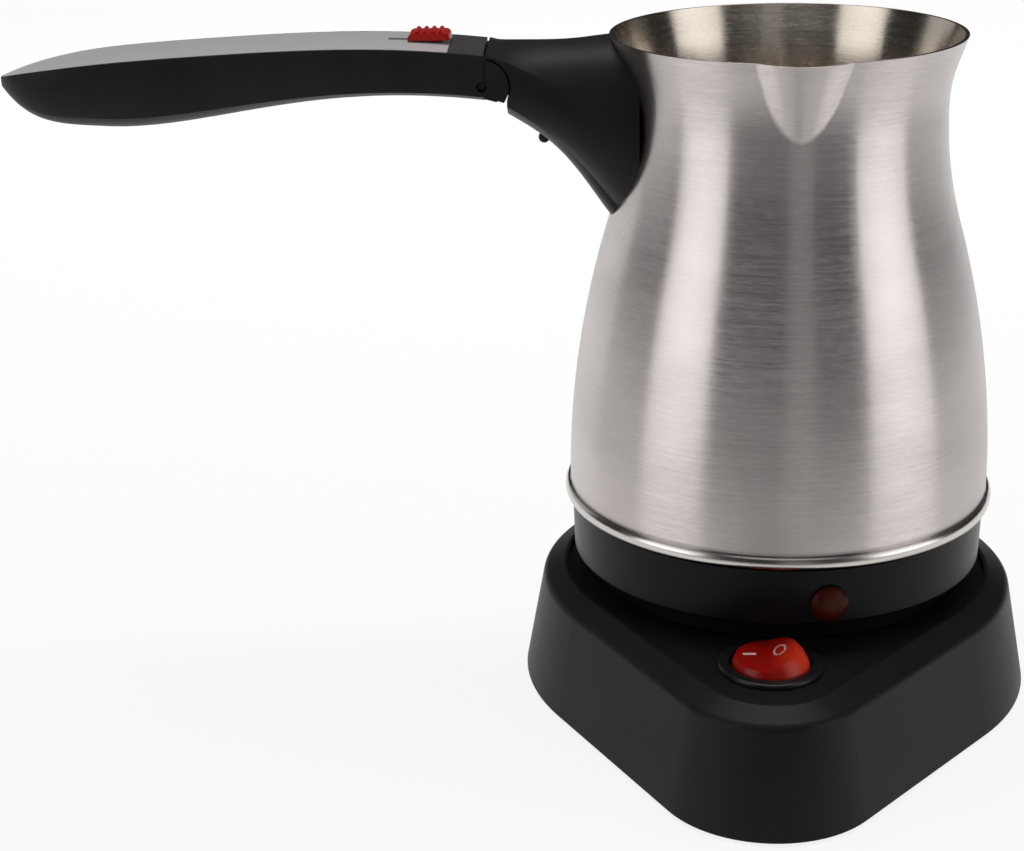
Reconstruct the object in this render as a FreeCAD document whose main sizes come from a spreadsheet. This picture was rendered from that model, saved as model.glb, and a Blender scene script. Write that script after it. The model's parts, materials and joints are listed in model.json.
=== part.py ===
import FreeCAD, Part
import math
import os

import Sketcher

# Electric turkish coffee maker: a steel pot with a folding handle on a three-cornered switch base.
# Millimetres. The pot's axis is Z, the table is z = 0, the handle points along -X, the spout along -Y.

doc = FreeCAD.newDocument("CoffeeMaker")
vec = FreeCAD.Vector
upright = vec(0, 0, 1)
partsFolder = "parts"

# Driving sizes, one alias each. Levels are heights above the table.
drivingSizes = {
    # base moulding
    "footLift": 0.6,
    "baseRear": 60.0,
    "baseFront": 25.6,
    "baseReach": 60.0,
    "baseDraft": 10.6,
    "baseShoulder": 25.3,
    "bandTop": 28.0,
    "bandWidth": 5.0,
    "creaseRound": 2.2,
    "rimRound": 0.8,
    "skirtRound": 0.4,
    "trayInset": 0.8,
    "trayLevel": 26.8,
    "baseWall": 2.4,
    "baseTurn": -5.5,
    "bossRing": 46.0,
    "bossRadius": 3.6,
    "baseScrewRadius": 1.25,
    "baseScrewLength": 12.0,
    "plateGap": 0.25,
    "plateThickness": 2.0,
    "plateRecess": 0.4,
    "ventLength": 22.0,
    "ventWidth": 2.0,
    "ventPitch": 5.0,
    "footRadius": 5.0,
    "footSeat": 0.9,
    "rearFootX": 44.0,
    "rearFootY": 16.0,
    "frontFootX": 18.0,
    "inletLevel": 9.6,
    "inletBore": 3.6,
    "inletWall": 2.6,
    "inletFace": 59.6,
    "inletDepth": 8.6,
    # rocker switch
    "switchInset": 4.1,
    "bezelRadius": 11.5,
    "bezelThickness": 1.3,
    "switchHole": 10.0,
    "switchGap": 0.1,
    "switchDepth": 14.8,
    "rockerRadius": 8.7,
    "rockerGap": 0.35,
    "rockerPivotDrop": 2.7,
    "rockerValley": 3.9,
    "rockerRise": 1.9,
    "rockerKeel": 3.2,
    "rockerTilt": 12.0,
    "rockerPinRadius": 1.2,
    "runningGap": 0.05,
    "terminalWidth": 4.8,
    "terminalThickness": 0.8,
    "terminalLength": 6.5,
    "terminalPitch": 5.0,
    # leads in the base
    "leadRadius": 0.9,
    "leadBend": 1.6,
    "leadGap": 0.1,
    "leadOverhang": 1.0,
    "leadLift": 1.6,
    "leadStraight": 14.0,
    "leadSpread": 9.0,
    "leadEntry": 14.0,
    # coupler between base and pot
    "towerRadius": 16.6,
    "towerStep": 12.2,
    "towerShoulder": 30.2,
    "towerTop": 36.6,
    "couplerFlange": 19.6,
    "couplerGap": 0.6,
    "pinRadius": 2.0,
    "sleeveGap": 0.4,
    "sleeveWall": 0.6,
    "bladeRadius": 8.1,
    "bladeWall": 0.8,
    "slotInner": 6.2,
    "slotFloor": 28.6,
    "tabReach": 6.0,
    "tabHalf": 2.4,
    "tabThickness": 0.8,
    "tabLength": 6.5,
    # pot body
    "beadRadius": 50.0,
    "beadLevel": 48.0,
    "beadHeight": 3.0,
    "potFoot": 48.8,
    "potFloor": 46.8,
    "potFootTop": 50.0,
    "potCorner": 1.6,
    "shoulderLevel": 112.0,
    "neckRadius": 35.75,
    "neckLevel": 139.0,
    "flareRadius": 30.0,
    "flareAngle": 18.8,
    "rimLevel": 154.5,
    "potWall": 0.8,
    "beakInset": 5.45,
    "beakLow": 130.0,
    "beakLowRadius": 2.4,
    "beakRimRadius": 12.5,
    "beakRound": 1.8,
    "ringGap": 0.1,
    # heater housing under the pot
    "housingTop": 48.3,
    "housingEdge": 47.9,
    "housingEdgeLevel": 32.5,
    "housingFoot": 43.0,
    "housingWall": 2.0,
    "ledgeWidth": 2.6,
    "ledgeThickness": 1.6,
    "coverLift": 0.5,
    "coverThickness": 2.0,
    "housingBossRing": 36.6,
    "housingBossRadius": 3.4,
    "housingBossTop": 39.0,
    "housingScrewLength": 7.0,
    "socketWall": 3.2,
    "socketFlange": 24.5,
    "socketFlangeThickness": 1.6,
    "heatPlateRadius": 43.0,
    "heatPlateThickness": 3.2,
    "elementRing": 30.0,
    "elementTube": 3.2,
    "elementSweep": 300.0,
    "elementLeg": 7.0,
    "potLeadRadius": 0.8,
    "potLeadBend": 1.4,
    "potLeadStart": 8.0,
    "potLeadTurn": 22.5,
    "potLeadLift": 1.5,
    "thermostatRadius": 5.2,
    "thermostatHeight": 6.0,
    "thermostatReach": 21.0,
    "fuseRadius": 2.0,
    "fuseLength": 14.0,
    "lampTurn": 9.3,
    "lampLevel": 38.0,
    "lampStem": 3.0,
    "lampDome": 4.2,
    "lampRise": 2.2,
    "lampBulb": 2.0,
    "lampBulbLength": 8.0,
    # handle hinge
    "hingeReach": 67.3,
    "hingeLevel": 145.3,
    "hingePin": 1.1,
    "hingePinRecess": 1.2,
    "cheekRadius": 6.0,
    "cheekDropRear": 1.1,
    "cheekDrop": 2.1,
    "cheekDropFront": 4.3,
    "cheekGap": 0.4,
    "barrelRadius": 5.4,
    "barrelHalf": 6.2,
    "barrelShow": 1.6,
    "forkGap": 0.3,
    "forkDepth": 7.2,
    "seamGap": 0.6,
    "seamOffset": 0.5,
    "heelGap": 5.5,
    "webTop": 4.8,
    "webReach": 8.0,
    "notchDepth": 2.2,
    # bracket fittings
    "padHalf": 8.5,
    "padTop": 7.0,
    "padBottom": 25.0,
    "padProud": 3.45,
    "padDepth": 10.0,
    "padGap": 0.2,
    "bracketWeb": 1.5,
    "bracketScrewHigh": 11.8,
    "bracketScrewLow": 19.8,
    "bracketScrewRadius": 1.9,
    "bracketScrewHead": 3.4,
    "bracketScrewHeight": 1.8,
    "bracketScrewBite": 1.85,
    "coverHalf": 6.4,
    "coverSkin": 1.3,
    "nubRadius": 1.3,
    # grip
    "gripLength": 108.3,
    "gripCrown": 0.5,
    "inlayBorder": 0.8,
    "inlayDepth": 1.2,
    "capLength": 7.7,
    "gripScrewRadius": 1.3,
    "gripScrewHead": 2.6,
    "gripBossRadius": 2.8,
    "gripBossDrop": 5.4,
    "gripScrewGrip": 3.6,
    # lock
    "boltHalf": 2.5,
    "boltLow": 0.4,
    "boltThickness": 3.0,
    "boltGap": 0.3,
    "boltNoseGap": 0.35,
    "boltLength": 15.0,
    "lockTravel": 4.5,
    "stemHalf": 0.8,
    "stemStart": 9.2,
    "stemLength": 7.0,
    "buttonStart": 7.1,
    "buttonLength": 9.3,
    "buttonHalf": 3.8,
    "buttonUnderside": 8.9,
    "buttonTop": 10.4,
    "buttonRib": 0.55,
    "buttonCorner": 1.2,
    "springRadius": 1.3,
    "springWire": 0.25,
    "springLength": 9.4,
    "springTurns": 7.0,
}

# Cross-sections of the bracket, from the hinge seam to inside the neck. Heights are from the hinge pin.
# Hold is how far a section keeps to the seam (1) or to the neck (0), and Along its distance from there.
bracketColumns = ("Hold", "Along", "Crown", "EdgeHalf", "Edge", "SideHalf", "Side", "HeelHalf", "Heel", "Sole")
bracketRows = [
    (1.0, 0.00, 7.25, 12.2, 6.75, 12.4, 0.9, 11.6, -1.5, -4.8),
    (1.0, -8.22, 8.00, 12.0, 3.60, 12.7, -1.2, 10.5, -7.0, -10.3),
    (0.3, 5.08, 8.10, 12.6, -0.30, 13.4, -5.2, 9.0, -13.4, -16.9),
    (0.0, 6.21, 8.80, 14.2, -2.80, 15.0, -10.4, 8.0, -22.5, -27.5),
    (0.0, -2.80, 9.20, 14.8, -3.50, 15.9, -13.3, 5.5, -33.3, -37.3),
]

# Cross-sections of the grip, from the hinge to the nose. Heights are from the hinge pin.
gripColumns = ("Share", "Half", "Edge", "HeelHalf", "Heel", "Sole")
gripRows = [
    (0.000, 12.2, 6.75, 11.6, -2.3, -4.6),
    (0.117, 12.2, 7.90, 11.6, -1.2, -3.5),
    (0.302, 12.2, 8.50, 11.2, -1.4, -3.8),
    (0.533, 12.2, 7.70, 10.6, -4.2, -7.2),
    (0.764, 12.2, 6.10, 9.8, -6.4, -9.8),
    (0.874, 10.9, 4.70, 8.2, -6.0, -9.0),
    (0.945, 7.4, 3.30, 5.4, -4.3, -6.5),
    (0.987, 3.2, 2.10, 2.2, -1.6, -2.6),
    (1.000, 1.2, 1.60, 0.9, -0.5, -0.8),
]


def tableSizes(prefix, columns, rows):
    """Gives every number of a table of cross-sections its own named size."""
    named = {}
    for number, row in enumerate(rows, start=1):
        for column, value in zip(columns, row):
            named["%s%s%d" % (prefix, column, number)] = value
    return named


drivingSizes.update(tableSizes("bracket", bracketColumns, bracketRows))
drivingSizes.update(tableSizes("grip", gripColumns, gripRows))

sheet = doc.addObject("Spreadsheet::Sheet", "Sizes")
for row, (alias, number) in enumerate(drivingSizes.items(), start=1):
    sheet.set("A%d" % row, alias)
    sheet.set("B%d" % row, str(number))
    sheet.setAlias("B%d" % row, alias)
doc.recompute()


class Size:
    """A length or an angle: its expression in the sheet's names, and its value now."""

    def __init__(self, text, value):
        self.text = text
        self.value = value

    def joined(self, sign, other, value):
        return Size("(%s %s %s)" % (self.text, sign, other.text), value)

    def __add__(self, other):
        other = asSize(other)
        return self.joined("+", other, self.value + other.value)

    def __sub__(self, other):
        other = asSize(other)
        return self.joined("-", other, self.value - other.value)

    def __mul__(self, other):
        other = asSize(other)
        return self.joined("*", other, self.value * other.value)

    def __truediv__(self, other):
        other = asSize(other)
        return self.joined("/", other, self.value / other.value)

    def __radd__(self, other):
        return asSize(other) + self

    def __rsub__(self, other):
        return asSize(other) - self

    def __rmul__(self, other):
        return asSize(other) * self

    def __neg__(self):
        return Size("(-1 * %s)" % self.text, -self.value)


def asSize(number):
    return number if isinstance(number, Size) else Size(repr(float(number)), float(number))


def squareRoot(size):
    return Size("sqrt(%s)" % size.text, math.sqrt(size.value))


def tangent(angle):
    return Size("tan(%s)" % angle.text, math.tan(math.radians(angle.value)))


def sine(angle):
    return Size("sin(%s)" % angle.text, math.sin(math.radians(angle.value)))


def cosine(angle):
    return Size("cos(%s)" % angle.text, math.cos(math.radians(angle.value)))


class SizeTable:
    """Reads a driving size by its name."""

    def __getattr__(self, alias):
        return Size("Sizes." + alias, float(sheet.get(alias)))

    def row(self, prefix, column, number):
        return getattr(self, "%s%s%d" % (prefix, column, number))


S = SizeTable()


def bind(thing, attribute, size):
    """Ties a property to the sheet, or sets it where the size is a plain number."""
    size = asSize(size)
    if "Sizes." in size.text:
        thing.setExpression(attribute, size.text)
    else:
        setattr(thing, attribute, size.value)


def newBody(label):
    body = doc.addObject("PartDesign::Body", label + "Body")
    body.Label = label
    return body


def newSketch(body, role, offset=0.0):
    """A sketch on one of the body's own planes, moved along that plane's normal."""
    plane = [feature for feature in body.Origin.OriginFeatures if feature.Role == role][0]
    sketch = body.newObject("Sketcher::SketchObject", body.Name + "Sketch")
    sketch.AttachmentSupport = (plane, [""])
    sketch.MapMode = "FlatFace"
    offset = asSize(offset)
    sketch.AttachmentOffset = FreeCAD.Placement(vec(0, 0, offset.value), FreeCAD.Rotation())
    if "Sizes." in offset.text:
        sketch.setExpression("AttachmentOffset.Base.z", offset.text)
    return sketch


def fixPoint(sketch, geometry, position, x, y):
    for kind, size in (("DistanceX", asSize(x)), ("DistanceY", asSize(y))):
        constraint = Sketcher.Constraint(kind, -1, 1, geometry, position, size.value)
        index = sketch.addConstraint(constraint)
        if "Sizes." in size.text:
            sketch.setExpression("Constraints[%d]" % index, size.text)


def point(mark):
    return vec(asSize(mark[-2]).value, asSize(mark[-1]).value, 0)


def arcThrough(start, middle, end):
    """An anticlockwise arc through three points, and whether it runs from start to end."""
    circle = Part.ArcOfCircle(start, middle, end)
    centre = circle.Center
    anticlockwise = (middle - start).cross(end - middle).z > 0
    first, last = (start, end) if anticlockwise else (end, start)
    angles = [math.atan2(p.y - centre.y, p.x - centre.x) for p in (first, last)]
    if angles[1] <= angles[0]:
        angles[1] += 2 * math.pi
    shape = Part.ArcOfCircle(Part.Circle(centre, upright, circle.Radius), angles[0], angles[1])
    return shape, anticlockwise


def drawOutline(sketch, marks):
    """Draws a closed outline: (x, y) is a corner, ("via", x, y) a point of the arc between its neighbours."""
    corners = [index for index, mark in enumerate(marks) if mark[0] != "via"]
    ends = []
    for index in corners:
        following = marks[(index + 1) % len(marks)]
        if following[0] == "via":
            target = marks[(index + 2) % len(marks)]
            shape, forward = arcThrough(point(marks[index]), point(following), point(target))
            geometry = sketch.addGeometry(shape)
            middle = sketch.addGeometry(Part.Point(point(following)), True)
            fixPoint(sketch, middle, 1, following[1], following[2])
            sketch.addConstraint(Sketcher.Constraint("PointOnObject", middle, 1, geometry))
            ends.append((geometry, 1, 2) if forward else (geometry, 2, 1))
        else:
            geometry = sketch.addGeometry(Part.LineSegment(point(marks[index]), point(following)))
            ends.append((geometry, 1, 2))
    for number, index in enumerate(corners):
        geometry, start, _ = ends[number]
        before, _, finish = ends[number - 1]
        fixPoint(sketch, geometry, start, marks[index][0], marks[index][1])
        sketch.addConstraint(Sketcher.Constraint("Coincident", before, finish, geometry, start))


def turned(label, marks):
    """A solid of revolution about Z; the outline is drawn as (radius, level)."""
    body = newBody(label)
    sketch = newSketch(body, "XZ_Plane")
    drawOutline(sketch, marks)
    feature = body.newObject("PartDesign::Revolution", body.Name + "Turn")
    feature.Profile = sketch
    feature.ReferenceAxis = (sketch, ["V_Axis"])
    feature.Angle = 360
    return body


def extruded(label, role, marks, start, length, taper=None):
    """A pad from a plane: XY grows up, XZ grows towards -Y, YZ grows towards +X."""
    body = newBody(label)
    sketch = newSketch(body, role, start)
    drawOutline(sketch, marks)
    feature = body.newObject("PartDesign::Pad", body.Name + "Pad")
    feature.Profile = sketch
    bind(feature, "Length", length)
    if taper is not None:
        bind(feature, "TaperAngle", taper)
    return body


def lofted(label, stations):
    """A loft along X through (x, outline) stations, outlines drawn as (y, z)."""
    body = newBody(label)
    sketches = []
    for x, marks in stations:
        sketch = newSketch(body, "YZ_Plane", x)
        drawOutline(sketch, marks)
        sketches.append(sketch)
    feature = body.newObject("PartDesign::AdditiveLoft", body.Name + "Loft")
    feature.Profile = sketches[0]
    feature.Sections = sketches[1:]
    feature.Ruled = False
    return body


def placeAt(thing, x, y, z):
    spot = [asSize(size) for size in (x, y, z)]
    thing.Placement = FreeCAD.Placement(vec(*[size.value for size in spot]), thing.Placement.Rotation)
    for letter, size in zip("xyz", spot):
        if "Sizes." in size.text:
            thing.setExpression("Placement.Base." + letter, size.text)


def cylinder(label, radius, length, x, y, z, axis="Z"):
    """A cylinder that starts at a point and runs towards +X, +Y or +Z."""
    thing = doc.addObject("Part::Cylinder", label)
    bind(thing, "Radius", radius)
    bind(thing, "Height", length)
    turn = {"X": FreeCAD.Rotation(vec(0, 1, 0), 90), "Y": FreeCAD.Rotation(vec(1, 0, 0), -90)}
    thing.Placement = FreeCAD.Placement(vec(), turn.get(axis, FreeCAD.Rotation()))
    placeAt(thing, x, y, z)
    return thing


def box(label, x0, x1, y0, y1, z0, z1):
    thing = doc.addObject("Part::Box", label)
    bind(thing, "Length", asSize(x1) - x0)
    bind(thing, "Width", asSize(y1) - y0)
    bind(thing, "Height", asSize(z1) - z0)
    placeAt(thing, x0, y0, z0)
    return thing


def sphere(label, radius, x, y, z):
    thing = doc.addObject("Part::Sphere", label)
    bind(thing, "Radius", radius)
    placeAt(thing, x, y, z)
    return thing


def fused(label, things):
    result = doc.addObject("Part::MultiFuse", label + "Fuse")
    result.Shapes = things
    result.Label = label
    return result


def shared(label, things):
    result = doc.addObject("Part::MultiCommon", label + "Common")
    result.Shapes = things
    result.Label = label
    return result


def less(label, thing, tools):
    result = doc.addObject("Part::Cut", label + "Cut")
    result.Base = thing
    result.Tool = tools[0] if len(tools) == 1 else fused(label + "Tools", tools)
    result.Label = label
    return result


def rounded(label, thing, choices):
    """Rounds edges: each choice is a radius and a test of an edge and the faces beside it."""
    doc.recompute()
    chosen = []
    for index, edge in enumerate(thing.Shape.Edges, start=1):
        faces = thing.Shape.ancestorsOfType(edge, Part.Face)
        for radius, test in choices:
            if test(edge, faces):
                chosen.append((index, radius.value, radius.value))
    result = doc.addObject("Part::Fillet", label + "Fillet")
    result.Base = thing
    result.Edges = chosen
    result.Label = label
    return result


def atLevel(level):
    """A test for the edges that lie flat at a level."""
    def test(edge, faces):
        bounds = edge.BoundBox
        return max(abs(bounds.ZMin - level.value), abs(bounds.ZMax - level.value)) < 0.01
    return test


def grouped(label, things):
    result = doc.addObject("Part::Compound", label + "Group")
    result.Links = things
    result.Label = label
    return result


def screw(label, headRadius, headHeight, shankRadius, shankLength):
    """A pan-head screw standing on its head at the origin, its shank upwards."""
    head = cylinder(label + "Head", headRadius, headHeight, 0, 0, 0)
    shank = cylinder(label + "Shank", shankRadius, shankLength, 0, 0, headHeight)
    slot = headRadius * 0.6
    depth = headHeight * 0.5
    cross = [
        box(label + "SlotA", -slot, slot, -0.3, 0.3, 0, depth),
        box(label + "SlotB", -0.3, 0.3, -slot, slot, 0, depth),
    ]
    return less(label, fused(label + "Solid", [head, shank]), cross)


def lined(points, bend):
    """A path of straight runs joined by tangent arcs of one radius."""
    edges = []
    here = points[0]
    for corner, ahead in zip(points[1:-1], points[2:]):
        before = (here - corner).normalize()
        after = (ahead - corner).normalize()
        half = before.getAngle(after) / 2
        reach = bend / math.tan(half)
        first = corner + before * reach
        last = corner + after * reach
        inward = (before + after).normalize()
        middle = corner + inward * (bend / math.sin(half) - bend)
        edges.append(Part.LineSegment(here, first).toShape())
        edges.append(Part.Arc(first, middle, last).toShape())
        here = last
    edges.append(Part.LineSegment(here, points[-1]).toShape())
    return Part.Wire(edges)


def tube(points, radius, bend):
    path = lined(points, bend)
    start = points[0]
    along = points[1] - points[0]
    ring = Part.Wire([Part.Circle(start, along, radius).toShape()])
    return path.makePipeShell([ring], True, False)


def fromShape(label, shape):
    thing = doc.addObject("Part::Feature", label + "Shape")
    thing.Shape = shape
    thing.Label = label
    return thing


pieces = []


def keep(piece):
    pieces.append(piece)
    return piece


def keepOnBase(piece):
    """The base stands a few degrees round from the pot, as the coupler lets it."""
    piece.Placement = FreeCAD.Placement(vec(), FreeCAD.Rotation(upright, S.baseTurn.value))
    bind(piece, "Placement.Rotation.Angle", S.baseTurn)
    return keep(piece)


# Base moulding
def teardrop(rear, front, reach):
    """A circle about the axis and a smaller one ahead of it, joined by straight tangent sides."""
    side = (rear - front) / reach
    across = squareRoot(1 - side * side)
    rearX = rear * across
    rearY = -(rear * side)
    frontX = front * across
    frontY = -(reach + front * side)
    return [
        (rearX, rearY),
        ("via", 0, rear),
        (-rearX, rearY),
        (-frontX, frontY),
        ("via", 0, -(reach + front)),
        (frontX, frontY),
    ]


draftRise = (S.baseShoulder - S.footLift) * tangent(S.baseDraft)
shoulderRear = S.baseRear - draftRise
shoulderFront = S.baseFront - draftRise
bandRise = S.bandTop - S.baseShoulder
bandTaper = Size("atan(%s)" % (S.bandWidth / bandRise).text, math.degrees(math.atan(S.bandWidth.value / bandRise.value)))
ceiling = S.trayLevel - S.baseWall
plateBottom = S.footLift + S.plateRecess
plateTop = plateBottom + S.plateThickness
switchY = S.switchInset - S.baseReach


def ringSpots(radius, count, first):
    """Points on a circle about the pot's axis."""
    spots = []
    for number in range(count):
        angle = math.radians(first + 360.0 * number / count)
        spots.append((radius * round(math.cos(angle), 9), radius * round(math.sin(angle), 9)))
    return spots


baseScrewSpots = ringSpots(S.bossRing, 4, 45)
footSpots = [
    (S.rearFootX, S.rearFootY),
    (-S.rearFootX, S.rearFootY),
    (S.frontFootX, -S.baseReach),
    (-S.frontFootX, -S.baseReach),
]


def baseShell():
    skirt = extruded(
        "skirtSolid", "XY_Plane", teardrop(S.baseRear, S.baseFront, S.baseReach),
        S.footLift, S.baseShoulder - S.footLift, -S.baseDraft,
    )
    band = extruded(
        "bandSolid", "XY_Plane", teardrop(shoulderRear, shoulderFront, S.baseReach),
        S.baseShoulder, bandRise, -bandTaper,
    )
    hollow = extruded(
        "skirtHollow", "XY_Plane",
        teardrop(S.baseRear - S.baseWall, S.baseFront - S.baseWall, S.baseReach),
        S.footLift, ceiling - S.footLift, -S.baseDraft,
    )
    trayInset = S.bandWidth + S.trayInset
    tray = extruded(
        "trayHollow", "XY_Plane",
        teardrop(shoulderRear - trayInset, shoulderFront - trayInset, S.baseReach),
        S.trayLevel, S.bandTop - S.trayLevel + 1,
    )
    solid = rounded("shellSolid", fused("shellBlank", [skirt, band]), [
        (S.creaseRound, atLevel(S.baseShoulder)),
        (S.rimRound, atLevel(S.bandTop)),
        (S.skirtRound, atLevel(S.footLift)),
    ])
    shell = less("shellWalls", solid, [hollow, tray])
    bosses = []
    pilots = []
    for number, (x, y) in enumerate(baseScrewSpots):
        bosses.append(cylinder("baseBoss%d" % number, S.bossRadius, ceiling - plateTop + 1, x, y, plateTop))
        pilots.append(cylinder(
            "basePilot%d" % number, S.baseScrewRadius + S.runningGap, S.baseScrewLength, x, y, plateTop,
        ))
    inletStart = S.inletFace - S.inletDepth
    collar = cylinder("inletCollar", S.inletBore + S.inletWall, S.inletDepth, 0, inletStart, S.inletLevel, "Y")
    bore = cylinder("inletBoreTool", S.inletBore, S.inletDepth + 2, 0, inletStart - 1, S.inletLevel, "Y")
    switchHole = cylinder("switchHoleTool", S.switchHole, S.baseWall + 2, 0, switchY, ceiling - 1)
    couplerHole = cylinder("couplerHoleTool", S.towerRadius + S.couplerGap, S.baseWall + 2, 0, 0, ceiling - 1)
    whole = fused("shellWithBosses", [shell, collar] + bosses)
    return less("base_shell", whole, pilots + [bore, switchHole, couplerHole])


def bottomPlate():
    inset = S.baseWall + S.plateGap + (plateTop - S.footLift) * tangent(S.baseDraft)
    plate = extruded(
        "plateSolid", "XY_Plane",
        teardrop(S.baseRear - inset, S.baseFront - inset, S.baseReach), plateBottom, S.plateThickness,
    )
    tools = []
    for number, (x, y) in enumerate(baseScrewSpots):
        tools.append(cylinder("plateHole%d" % number, S.baseScrewRadius + 0.3, S.plateThickness + 2, x, y, 0))
        tools.append(cylinder("plateSink%d" % number, S.baseScrewRadius * 2 + 0.3, S.plateThickness / 2, x, y, plateBottom))
    for number, (x, y) in enumerate(footSpots):
        tools.append(cylinder("footPocket%d" % number, S.footRadius + 0.1, S.footSeat, x, y, plateBottom))
    for number in range(5):
        middle = S.ventPitch * (number - 2)
        tools.append(box(
            "vent%d" % number, -S.ventLength / 2, S.ventLength / 2,
            middle - S.ventWidth / 2, middle + S.ventWidth / 2, plateBottom - 1, plateTop + 1,
        ))
    return less("bottom_plate", plate, tools)


def rubberFeet():
    feet = []
    for number, (x, y) in enumerate(footSpots):
        foot = turned("foot%d" % number, [
            (0, 0), (S.footRadius - 0.5, 0), (S.footRadius, 0.5),
            (S.footRadius, plateBottom + S.footSeat), (0, plateBottom + S.footSeat),
        ])
        placeAt(foot, x, y, 0)
        feet.append(foot)
    return grouped("rubber_feet", feet)


def baseScrews():
    screws = []
    headHeight = S.plateThickness / 2
    for number, (x, y) in enumerate(baseScrewSpots):
        one = screw("baseScrew%d" % number, S.baseScrewRadius * 2, headHeight,
                    S.baseScrewRadius, S.baseScrewLength - 1)
        placeAt(one, x, y, plateBottom)
        screws.append(one)
    return grouped("base_screws", screws)


keepOnBase(baseShell())
keepOnBase(bottomPlate())
keepOnBase(rubberFeet())
keepOnBase(baseScrews())


# Rocker switch
rockerPivot = S.trayLevel + S.bezelThickness - S.rockerPivotDrop
cavityRadius = S.rockerRadius + S.rockerGap
switchBodyRadius = S.switchHole - S.switchGap
switchBottom = S.trayLevel - S.switchDepth


def switchHousing():
    lip = 0.5
    top = S.trayLevel + S.bezelThickness
    body = turned("switchSolid", [
        (0, switchBottom), (switchBodyRadius, switchBottom), (switchBodyRadius, S.trayLevel),
        (S.bezelRadius, S.trayLevel), (S.bezelRadius, top - lip * 1.5),
        ("via", S.bezelRadius - lip * 0.45, top - lip * 0.45),
        (S.bezelRadius - lip * 1.5, top), (0, top),
    ])
    well = cylinder("rockerWell", cavityRadius, S.switchDepth, 0, 0, rockerPivot - S.rockerKeel - 3)
    axle = cylinder("rockerAxleHole", S.rockerPinRadius + S.runningGap, switchBodyRadius * 2,
                    0, -switchBodyRadius, rockerPivot, "Y")
    solid = less("switchHousingSolid", body, [well, axle])
    placeAt(solid, 0, switchY, 0)
    return grouped("switch_housing", [solid])


def rockerButton():
    ball = sphere("rockerBall", S.rockerRadius, 0, 0, 0)
    reach = S.rockerRadius + 1
    edge = S.rockerValley + S.rockerRise * (reach / S.rockerRadius)
    above = extruded("rockerAbove", "XZ_Plane", [
        (0, S.rockerValley), (reach, edge), (reach, reach), (-reach, reach), (-reach, edge),
    ], -reach, reach * 2)
    below = box("rockerBelow", -reach, reach, -reach, reach, -reach, -S.rockerKeel)
    pin = cylinder("rockerPin", S.rockerPinRadius, switchBodyRadius * 2 - 0.6, 0, 0.3 - switchBodyRadius, 0, "Y")
    solid = less("rockerSolid", fused("rockerBallAndPin", [ball, pin]), [above, below])
    solid.Placement = FreeCAD.Placement(vec(), FreeCAD.Rotation(vec(0, 1, 0), -S.rockerTilt.value))
    bind(solid, "Placement.Rotation.Angle", -S.rockerTilt)
    placeAt(solid, 0, switchY, rockerPivot)
    return grouped("rocker", [solid])


def switchTerminals():
    blades = []
    half = S.terminalWidth / 2
    for number, x in enumerate((-S.terminalPitch, asSize(0), S.terminalPitch)):
        blades.append(box(
            "terminal%d" % number, x - S.terminalThickness / 2, x + S.terminalThickness / 2,
            switchY - half, switchY + half, switchBottom - S.terminalLength, switchBottom,
        ))
    return grouped("switch_terminals", blades)


keepOnBase(switchHousing())
keepOnBase(rockerButton())
keepOnBase(switchTerminals())


# Coupler on the base
sleeveInner = S.pinRadius + S.sleeveGap
sleeveOuter = sleeveInner + S.sleeveWall
contactInner = S.bladeRadius + S.sleeveGap
contactOuter = contactInner + S.sleeveWall
flangeBottom = ceiling - 2.2


def baseCoupler():
    return turned("base_coupler", [
        (0, flangeBottom), (S.couplerFlange, flangeBottom), (S.couplerFlange, ceiling),
        (S.towerRadius, ceiling), (S.towerRadius, S.towerShoulder - 1),
        (S.towerRadius - 1, S.towerShoulder), (S.towerStep, S.towerShoulder),
        (S.towerStep, S.towerTop - 1), (S.towerStep - 1, S.towerTop), (contactOuter, S.towerTop),
        (contactOuter, S.slotFloor), (S.slotInner, S.slotFloor), (S.slotInner, S.towerTop),
        (sleeveOuter, S.towerTop), (sleeveOuter, ceiling), (0, ceiling),
    ])


def couplerContacts():
    sleeve = turned("contactSleeve", [
        (sleeveInner, ceiling), (sleeveOuter, ceiling),
        (sleeveOuter, S.towerTop - 1.5), (sleeveInner, S.towerTop - 1.5),
    ])
    ring = turned("contactRing", [
        (contactInner, S.slotFloor), (contactOuter, S.slotFloor),
        (contactOuter, S.towerTop - 1.5), (contactInner, S.towerTop - 1.5),
    ])
    tabs = []
    for number, x in enumerate((-S.tabReach, S.tabReach)):
        tabs.append(box("contactTab%d" % number, x - S.tabThickness / 2, x + S.tabThickness / 2,
                        -S.tabHalf, S.tabHalf, flangeBottom - S.tabLength, flangeBottom))
    return grouped("coupler_contacts", [sleeve, ring] + tabs)


def baseWires():
    """Leads from the switch's outer blades back to the coupler's tabs."""
    run = (switchBottom - S.terminalLength + S.leadLift).value
    bladeX = (S.terminalPitch + S.terminalThickness / 2 + S.leadRadius + S.leadGap).value
    bladeY = (switchY + S.terminalWidth / 2 + S.leadOverhang).value
    tabX = (S.tabReach + S.tabThickness / 2 + S.leadRadius + S.leadGap * 3).value
    tabZ = (flangeBottom - S.tabLength / 2).value + S.leadGap.value
    wires = []
    for side in (-1, 1):
        start = vec(side * bladeX, bladeY, run)
        across = side * S.leadSpread.value
        wires.append(tube([
            start, start + vec(0, S.leadStraight.value, 0), vec(across, -S.leadEntry.value, run),
            vec(across, -S.leadOverhang.value, run), vec(side * tabX, 0, tabZ),
        ], S.leadRadius.value, S.leadBend.value))
    return fromShape("base_wires", Part.Compound(wires))


keepOnBase(baseCoupler())
keepOnBase(couplerContacts())
keepOnBase(baseWires())


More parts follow.
